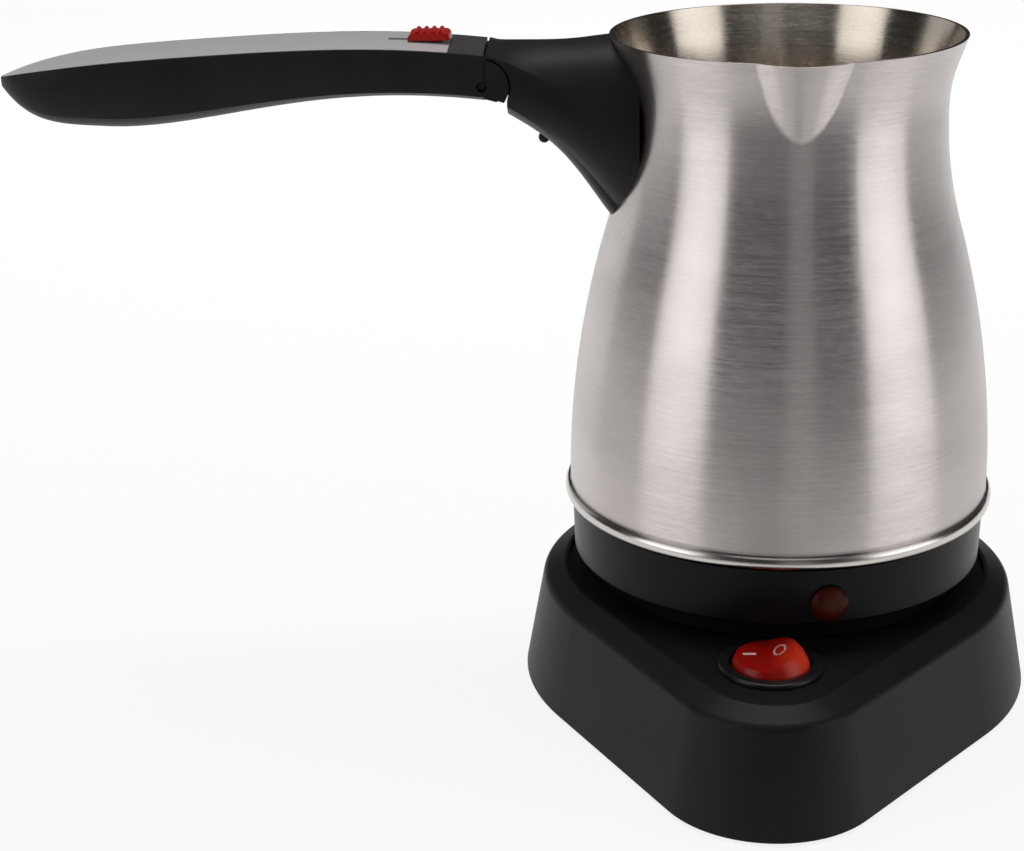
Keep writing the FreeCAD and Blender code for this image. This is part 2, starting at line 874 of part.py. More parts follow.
# Pot: two tangent arcs from foot to neck, a flare and a pressed spout
tilt = (S.potFoot - S.neckRadius) / (S.neckLevel - S.potFootTop)
shoulderRadius = S.potFoot - tilt * (S.shoulderLevel - S.potFootTop)
slopeSine = 2 * tilt / (1 + tilt * tilt)
slopeCosine = (1 - tilt * tilt) / (1 + tilt * tilt)
bellyArc = (S.shoulderLevel - S.potFootTop) / slopeSine
neckArc = (S.neckLevel - S.shoulderLevel) / slopeSine
flareX = S.flareRadius * (1 - cosine(S.flareAngle))
flareZ = S.flareRadius * sine(S.flareAngle)
rimRadius = S.neckRadius + flareX + (S.rimLevel - S.neckLevel - flareZ) * tangent(S.flareAngle)


def arcDip(radius, rise):
    """How far an arc leaves its tangent after a given rise."""
    return radius - squareRoot(radius * radius - rise * rise)


def potOutline(inset, floor, top):
    """The pot's side, set in by a wall: foot, belly, neck, flare and rim, closed along the axis."""
    foot = S.potFoot - inset
    neck = S.neckRadius - inset
    bellyRise = (S.shoulderLevel - S.potFootTop) / 2
    neckRise = (S.neckLevel - S.shoulderLevel) / 2
    shoulderZ = S.shoulderLevel - inset * slopeSine
    halfFlare = flareZ / 2
    over = (top - S.rimLevel) * tangent(S.flareAngle)
    return [
        (0, floor), (foot - S.potCorner, floor),
        ("via", foot - S.potCorner * 0.293, floor + S.potCorner * 0.293),
        (foot, floor + S.potCorner), (foot, S.potFootTop),
        ("via", foot - arcDip(bellyArc - inset, bellyRise), S.potFootTop + bellyRise),
        (shoulderRadius - inset * slopeCosine, shoulderZ),
        ("via", neck + arcDip(neckArc + inset, neckRise), S.neckLevel - neckRise),
        (neck, S.neckLevel),
        ("via", neck + arcDip(S.flareRadius + inset, halfFlare), S.neckLevel + halfFlare),
        (neck + flareX + inset * (1 - cosine(S.flareAngle)), S.neckLevel + flareZ + inset * sine(S.flareAngle)),
        (rimRadius - inset / cosine(S.flareAngle) + over, top), (0, top),
    ]


beakReach = S.neckRadius - S.beakInset


def beak(label, inset, top):
    """The pressed spout: an upright cone ahead of the axis that breaks out through the neck."""
    slope = (S.beakRimRadius - S.beakLowRadius) / (S.rimLevel - S.beakLow)
    low = S.beakLowRadius - inset
    high = S.beakRimRadius - inset + (top - S.rimLevel) * slope
    cone = turned(label, [(0, S.beakLow), (low, S.beakLow), (high, top), (0, top)])
    placeAt(cone, 0, -beakReach, 0)
    return cone


def spoutCrease(edge, faces):
    """A test for the edges where the spout's cone meets the round pot."""
    if any(isinstance(face.Surface, Part.Plane) for face in faces):
        return False
    onBeak = [isinstance(face.Surface, Part.Cone) and face.Surface.Apex.y < -beakReach.value / 2 for face in faces]
    return onBeak.count(True) == 1 and onBeak.count(False) == 1


def potForm(name, inset, floor, top):
    """The pot and its spout as one solid, set in by a wall, with the crease between them pressed round."""
    blank = fused("pot%sBlank" % name, [
        turned("pot%s" % name, potOutline(inset, floor, top)),
        beak("beak%s" % name, inset, top),
    ])
    return rounded("pot%sForm" % name, blank, [(S.beakRound + inset, spoutCrease)])


potSolid = potForm("Outer", asSize(0), S.potFloor, S.rimLevel)


def vessel():
    inside = potForm("Inner", S.potWall, S.potFloor + S.potWall, S.rimLevel + 1)
    return less("vessel", potSolid, [inside])


def trimRing():
    half = S.beadHeight / 2
    inner = S.potFoot + S.ringGap
    return turned("trim_ring", [
        (inner, S.beadLevel - half), (S.beadRadius - 0.6, S.beadLevel - half),
        ("via", S.beadRadius, S.beadLevel), (S.beadRadius - 0.6, S.beadLevel + half),
        (inner, S.beadLevel + half),
    ])


keep(vessel())
keep(trimRing())


# Heater housing and what it holds
housingInner = S.housingEdge - S.housingWall
footInner = S.housingFoot - S.housingWall
coverBottom = S.trayLevel + S.coverLift
coverTop = coverBottom + S.coverThickness
ledgeTop = coverTop + S.ledgeThickness
housingScrewSpots = ringSpots(S.housingBossRing, 3, 30)
lampAngle = S.lampTurn - 90


def radial(label, thing, reach):
    """Lays a thing that was made along Z on the lamp's radius."""
    thing.Placement = FreeCAD.Placement(vec(), FreeCAD.Rotation(vec(0, 1, 0), 90))
    placeAt(thing, reach, 0, S.lampLevel)
    result = grouped(label, [thing])
    result.Placement = FreeCAD.Placement(vec(), FreeCAD.Rotation(upright, lampAngle.value))
    bind(result, "Placement.Rotation.Angle", lampAngle)
    return result


def heaterHousing():
    walls = turned("housingWalls", [
        (footInner, S.trayLevel), (S.housingFoot - 0.6, S.trayLevel), (S.housingFoot, S.trayLevel + 0.6),
        (S.housingFoot, S.housingEdgeLevel - 1.2),
        ("via", S.housingFoot + 0.35, S.housingEdgeLevel - 0.35),
        (S.housingFoot + 1.2, S.housingEdgeLevel), (S.housingEdge - 1.0, S.housingEdgeLevel),
        ("via", S.housingEdge - 0.3, S.housingEdgeLevel + 0.3),
        (S.housingEdge, S.housingEdgeLevel + 1.0), (S.housingTop, S.potFloor),
        (S.housingTop - S.housingWall, S.potFloor), (housingInner, S.housingEdgeLevel + S.housingWall),
        (footInner, S.housingEdgeLevel + S.housingWall), (footInner, ledgeTop),
        (footInner - S.ledgeWidth, ledgeTop), (footInner - S.ledgeWidth, coverTop), (footInner, coverTop),
    ])
    bosses = []
    pilots = []
    for number, (x, y) in enumerate(housingScrewSpots):
        bosses.append(cylinder("housingBoss%d" % number, S.housingBossRadius, S.housingBossTop - coverTop, x, y, coverTop))
        pilots.append(cylinder("housingPilot%d" % number, S.baseScrewRadius + S.runningGap,
                               S.housingScrewLength + 1, x, y, coverTop - 0.5))
    lampHole = radial("lampHole", cylinder("lampHoleTool", S.lampStem + 0.05, 12, 0, 0, 0), S.housingEdge - 6)
    return less("heater_housing", fused("housingSolid", [walls] + bosses), pilots + [lampHole])


def housingCover():
    disc = turned("coverDisc", [
        (S.towerRadius + S.couplerGap + S.socketWall + 0.3, coverBottom), (footInner - 0.2, coverBottom),
        (footInner - 0.2, coverTop), (S.towerRadius + S.couplerGap + S.socketWall + 0.3, coverTop),
    ])
    holes = []
    for number, (x, y) in enumerate(housingScrewSpots):
        holes.append(cylinder("coverHole%d" % number, S.baseScrewRadius + 0.2, S.coverThickness + 2, x, y, coverBottom - 1))
        holes.append(cylinder("coverSink%d" % number, S.baseScrewRadius * 2 + 0.2, S.coverThickness / 2, x, y, coverBottom))
    return less("housing_cover", disc, holes)


def housingScrews():
    screws = []
    for number, (x, y) in enumerate(housingScrewSpots):
        one = screw("housingScrew%d" % number, S.baseScrewRadius * 2, S.coverThickness / 2, S.baseScrewRadius,
                    S.housingScrewLength)
        placeAt(one, x, y, coverBottom)
        screws.append(one)
    return grouped("housing_screws", screws)


def potCoupler():
    """A stepped socket over the base's tower, with a flange that lies on the cover."""
    wide = S.towerRadius + S.couplerGap
    narrow = S.towerStep + S.couplerGap
    wideTop = S.towerShoulder + S.couplerGap
    narrowTop = S.towerTop + S.couplerGap
    return turned("pot_coupler", [
        (wide, coverBottom), (wide + S.socketWall, coverBottom), (wide + S.socketWall, coverTop),
        (S.socketFlange, coverTop), (S.socketFlange, coverTop + S.socketFlangeThickness),
        (wide + S.socketWall, coverTop + S.socketFlangeThickness),
        (wide + S.socketWall, wideTop + S.socketWall), (narrow + S.socketWall, wideTop + S.socketWall),
        (narrow + S.socketWall, narrowTop + S.socketWall), (0, narrowTop + S.socketWall),
        (0, narrowTop), (narrow, narrowTop), (narrow, wideTop), (wide, wideTop),
    ])


def couplerPins():
    """A centre pin and a ring blade, both let into the socket's roof."""
    roof = S.towerTop + S.couplerGap
    pin = cylinder("centrePin", S.pinRadius, roof - ceiling - 2.0, 0, 0, ceiling + 2.0)
    blade = turned("ringBlade", [
        (S.bladeRadius - S.bladeWall, S.slotFloor + 2), (S.bladeRadius, S.slotFloor + 2),
        (S.bladeRadius, roof), (S.bladeRadius - S.bladeWall, roof),
    ])
    return grouped("coupler_pins", [pin, blade])


heatPlateBottom = S.potFloor - S.heatPlateThickness
elementLevel = heatPlateBottom - S.elementTube


def heatPlate():
    return turned("heat_plate", [
        (0, heatPlateBottom), (S.heatPlateRadius - 1, heatPlateBottom), (S.heatPlateRadius, heatPlateBottom + 1),
        (S.heatPlateRadius, S.potFloor), (0, S.potFloor),
    ])


def heatingElement():
    """A tubular ring with a gap, its two cold ends turned down."""
    ring = doc.addObject("Part::Torus", "elementRingSolid")
    bind(ring, "Radius1", S.elementRing)
    bind(ring, "Radius2", S.elementTube)
    bind(ring, "Angle3", S.elementSweep)
    placeAt(ring, 0, 0, elementLevel)
    legs = []
    for number, angle in enumerate((0.0, S.elementSweep.value)):
        x = S.elementRing * round(math.cos(math.radians(angle)), 9)
        y = S.elementRing * round(math.sin(math.radians(angle)), 9)
        legs.append(cylinder("elementLeg%d" % number, S.elementTube * 0.7, S.elementLeg, x, y, elementLevel - S.elementLeg))
        legs.append(sphere("elementEnd%d" % number, S.elementTube, x, y, elementLevel))
    return fused("heating_element", [ring] + legs)


def thermostat():
    top = heatPlateBottom
    solid = turned("thermostatSolid", [
        (0, top - S.thermostatHeight), (S.thermostatRadius - 1, top - S.thermostatHeight),
        (S.thermostatRadius - 1, top - 1.5), (S.thermostatRadius, top - 1.5), (S.thermostatRadius, top), (0, top),
    ])
    tabs = [
        box("thermostatTab%d" % number, x - 1.5, x + 1.5, -0.4, 0.4,
            top - S.thermostatHeight - 3, top - S.thermostatHeight)
        for number, x in enumerate((-2.4, 2.4))
    ]
    whole = fused("thermostatWhole", [solid] + tabs)
    placeAt(whole, 0, S.thermostatReach, 0)
    return grouped("thermostat", [whole])


def thermalFuse():
    level = heatPlateBottom - S.fuseRadius
    half = S.fuseLength / 2
    fuseY = -S.thermostatReach
    can = cylinder("fuseCan", S.fuseRadius, S.fuseLength, -half, fuseY, level, "X")
    lead = cylinder("fuseLead", 0.5, S.fuseLength + 8, -half - 4, fuseY, level, "X")
    return fused("thermal_fuse", [can, lead])


def indicatorLens():
    lens = turned("lensSolid", [
        (0, -4), (S.lampStem, -4), (S.lampStem, 0), (S.lampDome, 0), (S.lampDome, 0.5),
        ("via", S.lampDome * 0.72, S.lampRise * 0.72), (0.5, S.lampRise), (0, S.lampRise),
    ])
    seat = S.housingEdge + (S.housingTop - S.housingEdge) * (S.lampLevel - S.housingEdgeLevel) / (S.potFloor - S.housingEdgeLevel)
    return radial("indicator_lens", lens, seat + 0.25)


def indicatorLamp():
    bulb = turned("bulbSolid", [
        (0, -S.lampBulbLength), (S.lampBulb, -S.lampBulbLength), (S.lampBulb, -1.0),
        ("via", S.lampBulb * 0.78, -0.25), (0.4, 0), (0, 0),
    ])
    return radial("indicator_lamp", bulb, S.housingEdge - 4.2)


def potWires():
    """Leads from the coupler's roof out to the element's cold ends."""
    high = (S.towerTop + S.couplerGap + S.socketWall + S.potLeadRadius + S.leadGap).value
    low = (elementLevel - S.elementLeg + S.potLeadLift).value
    legSide = (S.elementRing - S.elementTube * 0.75).value
    stops = [
        (S.potLeadStart.value, high), (S.potLeadTurn.value, high), (S.potLeadTurn.value, low), (legSide, low),
    ]
    wires = []
    for angle in (0.0, S.elementSweep.value):
        aim = FreeCAD.Rotation(upright, angle)
        points = [aim.multVec(vec(reach, 0, 0)) + vec(0, 0, level) for reach, level in stops]
        wires.append(tube(points, S.potLeadRadius.value, S.potLeadBend.value))
    return fromShape("pot_wires", Part.Compound(wires))


for piece in (
    heaterHousing(), housingCover(), housingScrews(), potCoupler(), couplerPins(), heatPlate(),
    heatingElement(), thermostat(), thermalFuse(), indicatorLens(), indicatorLamp(), potWires(),
):
    keep(piece)


# Bracket between the neck and the hinge
hingeX = -S.hingeReach
seamX = hingeX + S.seamOffset + S.seamGap
clearAcross = 40.0


def bracketStation(number):
    hold = S.row("bracket", "Hold", number)
    x = -(S.neckRadius + hold * (-seamX - S.neckRadius) + S.row("bracket", "Along", number))
    value = {name: S.row("bracket", name, number) for name in bracketColumns}
    edge = S.hingeLevel + value["Edge"]
    side = S.hingeLevel + value["Side"]
    heel = S.hingeLevel + value["Heel"]
    return x, [
        (-value["EdgeHalf"], edge), ("via", 0, S.hingeLevel + value["Crown"]),
        (value["EdgeHalf"], edge), ("via", value["SideHalf"], side),
        (value["HeelHalf"], heel), ("via", 0, S.hingeLevel + value["Sole"]),
        (-value["HeelHalf"], heel), ("via", -value["SideHalf"], side),
    ]


def soleMark(number, shift):
    """A point of the bracket's underside in side view, moved into the bracket by a skin."""
    x, _ = bracketStation(number)
    return x + shift, S.hingeLevel + S.row("bracket", "Sole", number) + shift


def slabAlongY(label, marks, half):
    """A side-view outline given a width both ways from the middle."""
    return extruded(label, "XZ_Plane", marks, -half, half * 2)


def belowHinge(label, extra):
    """What lies under the handle's sole line at the hinge, in side view."""
    reach = S.cheekRadius + 1
    floor = S.hingeLevel - reach * 2
    return slabAlongY(label, [
        (hingeX - reach, S.hingeLevel - S.cheekDropRear - extra),
        ("via", hingeX, S.hingeLevel - S.cheekDrop - extra),
        (hingeX + reach, S.hingeLevel - S.cheekDropFront - extra),
        (hingeX + reach, floor), (hingeX - reach, floor),
    ], clearAcross / 2)


coverOutline = [
    soleMark(2, S.coverSkin), ("via",) + soleMark(3, S.coverSkin), soleMark(4, S.coverSkin),
    soleMark(4, -S.coverSkin * 6), soleMark(2, -S.coverSkin * 6),
]
bracketLoft = lofted("bracketLoft", [bracketStation(number) for number in (5, 4, 3, 2, 1)])
padZone = (S.hingeLevel - S.padBottom, S.hingeLevel - S.padTop)
padFace = S.neckRadius + S.padProud
screwSeat = padFace + S.bracketWeb
screwLevels = (S.hingeLevel - S.bracketScrewHigh, S.hingeLevel - S.bracketScrewLow)


def handleBracket():
    """A fork-shaped arm: rounded seats for the grip's cheeks, and a barrel between them."""
    cheekSeat = cylinder("cheekSeat", S.cheekRadius + S.cheekGap, clearAcross, hingeX, -clearAcross / 2, S.hingeLevel, "Y")
    underSeat = box("underSeat", hingeX - 12, hingeX + S.heelGap, -clearAcross / 2, clearAcross / 2,
                    S.hingeLevel - 12, S.hingeLevel)
    arm = less("bracketArm", bracketLoft, [cheekSeat, underSeat])
    barrelRound = cylinder("barrelRound", S.barrelRadius, S.barrelHalf * 2, hingeX, -S.barrelHalf,
                           S.hingeLevel, "Y")
    barrel = less("barrel", barrelRound, [belowHinge("barrelTrim", S.barrelShow)])
    web = box("barrelWeb", hingeX, hingeX + S.webReach, -S.barrelHalf, S.barrelHalf,
              S.hingeLevel - S.webTop * 0.6, S.hingeLevel + S.webTop)
    notch = box("boltNotch", hingeX - S.barrelRadius - 1, hingeX - S.barrelRadius + S.notchDepth,
                -S.boltHalf - S.boltGap, S.boltHalf + S.boltGap,
                S.hingeLevel + S.boltLow - S.boltGap, S.hingeLevel + S.boltLow + S.boltThickness + S.boltGap)
    pinHole = cylinder("barrelPinHole", S.hingePin, clearAcross, hingeX, -clearAcross / 2, S.hingeLevel, "Y")
    padPocket = box("padPocket", -(padFace + S.padGap), S.padDepth - padFace,
                    -(S.padHalf + S.padGap), S.padHalf + S.padGap,
                    padZone[0] - S.padGap, padZone[1] + S.padGap)
    coverPocket = slabAlongY("coverPocket", coverOutline, S.coverHalf + 0.1)
    sinkStart = soleMark(2, 0)[0] + 0.4
    tools = [potSolid, notch, pinHole, padPocket, coverPocket]
    for number, level in enumerate(screwLevels):
        tools.append(cylinder("bracketHole%d" % number, S.bracketScrewRadius + S.padGap, S.padDepth,
                              -(screwSeat + S.bracketWeb), 0, level, "X"))
        tools.append(cylinder("bracketSink%d" % number, S.bracketScrewHead + 0.3, -screwSeat - sinkStart,
                              sinkStart, 0, level, "X"))
    return less("handle_bracket", fused("bracketSolid", [arm, barrel, web]), tools)


def bracketCover():
    strip = shared("coverStrip", [bracketLoft, slabAlongY("coverSlab", coverOutline, S.coverHalf)])
    high = soleMark(2, 0)
    low = soleMark(3, 0)
    nub = sphere("coverNub", S.nubRadius, (high[0] + low[0]) / 2, 0, (high[1] + low[1]) / 2 - S.nubRadius * 0.1)
    return fused("bracket_cover", [strip, nub])


def handlePad():
    """The welded pad on the neck that the bracket is screwed to."""
    block = box("padBlock", -padFace, S.padDepth - padFace, -S.padHalf, S.padHalf, padZone[0], padZone[1])
    threads = [
        cylinder("padThread%d" % number, S.bracketScrewRadius, S.padDepth, -padFace - 1, 0, level, "X")
        for number, level in enumerate(screwLevels)
    ]
    return less("handle_pad", block, [potSolid] + threads)


def bracketScrews():
    screws = []
    for number, level in enumerate(screwLevels):
        one = screw("bracketScrew%d" % number, S.bracketScrewHead, S.bracketScrewHeight,
                    S.bracketScrewRadius - 0.02, S.bracketWeb + S.bracketScrewBite)
        one.Placement = FreeCAD.Placement(vec(), FreeCAD.Rotation(vec(0, 1, 0), 90))
        placeAt(one, -(screwSeat + S.bracketScrewHeight), 0, level)
        screws.append(one)
    return grouped("bracket_screws", screws)


def hingePin():
    half = S.row("grip", "Half", 1) - S.hingePinRecess
    pin = turned("hingePinSolid", [
        (0, 0), (S.hingePin - 0.3, 0), (S.hingePin, 0.3), (S.hingePin, half * 2 - 0.3),
        (S.hingePin - 0.3, half * 2), (0, half * 2),
    ])
    pin.Placement = FreeCAD.Placement(vec(), FreeCAD.Rotation(vec(1, 0, 0), -90))
    placeAt(pin, hingeX, -half, S.hingeLevel)
    return grouped("hinge_pin", [pin])


for piece in (handleBracket(), bracketCover(), handlePad(), bracketScrews(), hingePin()):
    keep(piece)


# Grip that folds at the hinge
gripStart = hingeX + S.seamOffset


def gripX(number):
    return gripStart - S.row("grip", "Share", number) * (S.gripLength + S.seamOffset)


def gripStation(number):
    half = S.row("grip", "Half", number)
    edge = S.hingeLevel + S.row("grip", "Edge", number)
    heelHalf = S.row("grip", "HeelHalf", number)
    heel = S.hingeLevel + S.row("grip", "Heel", number)
    bulge = (half + heelHalf) / 2 + (half - heelHalf) * 0.4 + half * 0.01
    return gripX(number), [
        (-half, edge), ("via", 0, edge + S.gripCrown * half / 12.2),
        (half, edge), ("via", bulge, (edge + heel) / 2),
        (heelHalf, heel), ("via", 0, S.hingeLevel + S.row("grip", "Sole", number)),
        (-heelHalf, heel), ("via", -bulge, (edge + heel) / 2),
    ]


def inlayStation(number, border, low, high):
    half = S.row("grip", "Half", number) * (1 - border / S.row("grip", "Half", 1))
    edge = S.hingeLevel + S.row("grip", "Edge", number)
    return gripX(number), [
        (-half, edge + low), (half, edge + low), (half, edge + high), (-half, edge + high),
    ]


capEnd = gripStart - S.capLength
gripLoft = lofted("gripLoft", [gripStation(number) for number in range(9, 0, -1)])
topBand = lofted("topBand", [
    inlayStation(number, S.inlayBorder, -S.inlayDepth, asSize(3)) for number in range(9, 0, -1)
])
inlayZone = box("inlayZone", hingeX - S.gripLength + S.inlayBorder, capEnd - 0.1, -clearAcross / 2, clearAcross / 2,
                S.hingeLevel - 10, S.hingeLevel + 20)
capZone = box("capZone", capEnd, gripStart + 1, -clearAcross / 2, clearAcross / 2,
              S.hingeLevel + S.barrelRadius + 0.5, S.hingeLevel + 20)
gripScrewRows = (4, 6)
stemX = hingeX - S.stemStart
boltLevel = S.hingeLevel + S.boltLow
channelLow = boltLevel - S.boltGap
channelHigh = boltLevel + S.boltThickness + S.boltGap
boltNose = hingeX - S.barrelRadius - S.boltNoseGap
boltTail = boltNose - S.boltLength
channelEnd = boltTail - S.springLength


def stemSlot(label, low, high):
    return box(label, stemX - S.stemLength - S.lockTravel - 0.3, stemX + 0.3,
               -(S.stemHalf + 0.3), S.stemHalf + 0.3, low, high)


def gripBossTools(label, radius, floorLift):
    tools = []
    for row in gripScrewRows:
        roof = S.hingeLevel + S.row("grip", "Edge", row) - S.inlayDepth
        tools.append(cylinder("%s%d" % (label, row), radius, S.gripBossDrop + floorLift,
                              gripX(row), 0, roof - S.gripBossDrop))
    return tools


def gripScrewSeat(row):
    roof = S.hingeLevel + S.row("grip", "Edge", row) - S.inlayDepth
    return roof - S.gripBossDrop - 2.0


def gripShell():
    disc = cylinder("cheekDisc", S.cheekRadius, S.row("grip", "Half", 1) * 2 - 0.4,
                    hingeX, 0.2 - S.row("grip", "Half", 1), S.hingeLevel, "Y")
    cheek = less("cheek", disc, [belowHinge("cheekTrim", asSize(0))])
    fork = box("forkSlot", hingeX - S.forkDepth, hingeX + 12, -(S.barrelHalf + S.forkGap),
               S.barrelHalf + S.forkGap, S.hingeLevel - 12, S.hingeLevel + S.barrelRadius + 0.5)
    pinHole = cylinder("cheekPinHole", S.hingePin + S.runningGap, clearAcross, hingeX, -clearAcross / 2, S.hingeLevel, "Y")
    channel = box("boltChannel", channelEnd, hingeX, -(S.boltHalf + S.boltGap), S.boltHalf + S.boltGap,
                  channelLow, channelHigh)
    inlayBed = shared("inlayBed", [topBand, inlayZone])
    capBed = shared("capBed", [topBandForCap(), capZone])
    tools = [fork, pinHole, channel, inlayBed, capBed, stemSlot("shellStemSlot", channelLow, S.hingeLevel + 20)]
    tools += gripBossTools("bossWell", S.gripBossRadius + 0.1, asSize(1))
    for row in gripScrewRows:
        seat = gripScrewSeat(row)
        tools.append(cylinder("gripHole%d" % row, S.gripScrewRadius + 0.2, 4, gripX(row), 0, seat - 1))
        tools.append(cylinder("gripSink%d" % row, S.gripScrewHead + 0.2, 15, gripX(row), 0, seat - 15))
    return less("grip_shell", fused("gripSolid", [gripLoft, cheek]), tools)


def topBandForCap():
    """The whole width of the grip over the hinge."""
    return box("capBand", capEnd - 2, gripStart + 2, -(S.row("grip", "Half", 1) - S.inlayBorder),
               S.row("grip", "Half", 1) - S.inlayBorder, S.hingeLevel + S.barrelRadius + 0.5, S.hingeLevel + 20)


def gripInlay():
    """The satin strip along the top, with two screw bosses under it."""
    strip = shared("inlayStrip", [gripLoft, topBand, inlayZone])
    bosses = gripBossTools("inlayBoss", S.gripBossRadius, asSize(0.2))
    solid = fused("inlaySolid", [strip] + bosses)
    pilots = []
    for row in gripScrewRows:
        roof = S.hingeLevel + S.row("grip", "Edge", row) - S.inlayDepth
        pilots.append(cylinder("inlayPilot%d" % row, S.gripScrewRadius, S.gripBossDrop - 0.6,
                               gripX(row), 0, roof - S.gripBossDrop))
    return less("grip_inlay", solid, pilots + [stemSlot("inlayStemSlot", S.hingeLevel, S.hingeLevel + 20)])


def hingeCap():
    return shared("hinge_cap", [gripLoft, topBandForCap(), capZone])


def gripScrews():
    screws = []
    headHeight = 1.6
    for row in gripScrewRows:
        one = screw("gripScrew%d" % row, S.gripScrewHead, headHeight, S.gripScrewRadius - 0.02,
                    S.gripScrewGrip + 2.0)
        placeAt(one, gripX(row), 0, gripScrewSeat(row) - headHeight)
        screws.append(one)
    return grouped("grip_screws", screws)


# Lock: a red slider, a bolt under it and a spring behind the bolt
def lockBolt():
    return box("lock_bolt", boltTail, boltNose, -S.boltHalf, S.boltHalf, boltLevel, boltLevel + S.boltThickness)


def lockButton():
    start = hingeX - S.buttonStart
    underside = S.hingeLevel + S.buttonUnderside
    top = S.hingeLevel + S.buttonTop
    slab = extruded("buttonSlab", "XZ_Plane", [
        (start - S.buttonLength, underside), (start, underside), (start, top - S.buttonCorner),
        ("via", start - S.buttonCorner * 0.293, top - S.buttonCorner * 0.293),
        (start - S.buttonCorner, top), (start - S.buttonLength + S.buttonCorner, top),
        ("via", start - S.buttonLength + S.buttonCorner * 0.293, top - S.buttonCorner * 0.293),
        (start - S.buttonLength, top - S.buttonCorner),
    ], -S.buttonHalf, S.buttonHalf * 2)
    ribs = []
    pitch = (S.buttonLength - S.buttonCorner * 2) / 4
    for number in range(4):
        x = start - S.buttonCorner - pitch * (number + 0.5)
        ribs.append(cylinder("buttonRib%d" % number, S.buttonRib, S.buttonHalf * 2 - 0.6,
                             x, 0.3 - S.buttonHalf, top, "Y"))
    stem = box("buttonStem", stemX - S.stemLength, stemX, -S.stemHalf, S.stemHalf,
               boltLevel + S.boltThickness, underside + 0.2)
    return fused("lock_button", [slab, stem] + ribs)


def lockSpring():
    """A compression coil between the bolt's tail and the end of its channel."""
    length = S.springLength.value - 2 * S.springWire.value
    pitch = length / S.springTurns.value
    middle = (boltLevel + S.boltThickness / 2).value
    path = Part.makeHelix(pitch, length, S.springRadius.value)
    ring = Part.Wire([Part.Circle(vec(S.springRadius.value, 0, 0), vec(0, 1, 0), S.springWire.value).toShape()])
    coil = Part.Wire(path.Edges).makePipeShell([ring], True, True)
    coil.Placement = FreeCAD.Placement(
        vec(boltTail.value - S.springWire.value, 0, middle), FreeCAD.Rotation(vec(0, 1, 0), -90),
    )
    return fromShape("lock_spring", coil)


for piece in (gripShell(), gripInlay(), hingeCap(), gripScrews(), lockBolt(), lockButton(), lockSpring()):
    keep(piece)

doc.recompute()


# Every object is sound before anything is written
for thing in doc.Objects:
    if any(state in ("Invalid", "Error") for state in thing.State):
        raise RuntimeError("%s is in state %s" % (thing.Label, thing.State))
for piece in pieces:
    if piece.Shape.isNull() or not piece.Shape.isValid():
        raise RuntimeError("%s has no valid shape" % piece.Label)
    if not piece.Shape.Solids:
        raise RuntimeError("%s holds no solid" % piece.Label)

os.makedirs(partsFolder, exist_ok=True)
for piece in pieces:
    piece.Shape.exportStep(os.path.join(partsFolder, piece.Label + ".step"))
    print("%-18s %2d solids %10.1f mm3" % (piece.Label, len(piece.Shape.Solids), piece.Shape.Volume))
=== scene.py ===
import json
import math

import bmesh
import bpy
from mathutils import Matrix, Vector


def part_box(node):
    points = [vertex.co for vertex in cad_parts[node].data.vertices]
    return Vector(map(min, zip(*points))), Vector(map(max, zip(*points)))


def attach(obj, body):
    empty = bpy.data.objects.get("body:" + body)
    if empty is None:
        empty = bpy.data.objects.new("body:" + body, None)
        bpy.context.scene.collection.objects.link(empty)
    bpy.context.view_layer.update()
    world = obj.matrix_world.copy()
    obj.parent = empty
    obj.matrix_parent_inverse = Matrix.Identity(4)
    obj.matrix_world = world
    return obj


# Electric turkish coffee maker. Metres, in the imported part's frame: the pot's axis is Z, the table
# is z = 0, the handle points along -X and the spout along -Y.

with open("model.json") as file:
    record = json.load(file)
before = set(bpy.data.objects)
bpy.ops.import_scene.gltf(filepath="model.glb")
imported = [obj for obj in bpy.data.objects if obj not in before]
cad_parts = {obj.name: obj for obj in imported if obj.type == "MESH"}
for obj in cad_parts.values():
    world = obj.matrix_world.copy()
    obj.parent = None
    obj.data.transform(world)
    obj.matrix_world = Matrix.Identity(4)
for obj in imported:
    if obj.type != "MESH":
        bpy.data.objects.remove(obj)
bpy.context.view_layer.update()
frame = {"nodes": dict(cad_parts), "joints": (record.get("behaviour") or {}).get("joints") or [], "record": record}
nodes = frame["nodes"]
mm = 0.001
print("stage: frame loaded")

# What one noise, and a sum of two or three, mostly stays between
oneNoise = (0.3, 0.7)
twoNoises = (0.75, 1.25)
threeNoises = (1.15, 1.85)
# Octaves of a noise: three in strokes and scratches, two in the rest
plainDetail = 2.0
fineDetail = 3.0


# A material or a world owns the nodes
def addNode(owner, kind, **settings):
    node = owner.node_tree.nodes.new(kind)
    for key, value in settings.items():
        setattr(node, key, value)
    return node


# Links an output to an input, or gives the input a plain value
def feed(owner, source, target):
    if isinstance(source, bpy.types.NodeSocket):
        owner.node_tree.links.new(source, target)
    else:
        target.default_value = source


def addMath(owner, operation, *sources, clamp=False):
    node = addNode(owner, "ShaderNodeMath", operation=operation, use_clamp=clamp)
    for source, target in zip(sources, node.inputs):
        feed(owner, source, target)
    return node.outputs["Value"]


# 1 on a ray that a glossy or a clear surface sends on, 0 on any other
def reflectedRay(owner, rays):
    glossy = rays.outputs["Is Glossy Ray"]
    return addMath(owner, "ADD", glossy, rays.outputs["Is Transmission Ray"], clamp=True)


def shaderOf(material):
    return material.node_tree.nodes["Principled BSDF"]


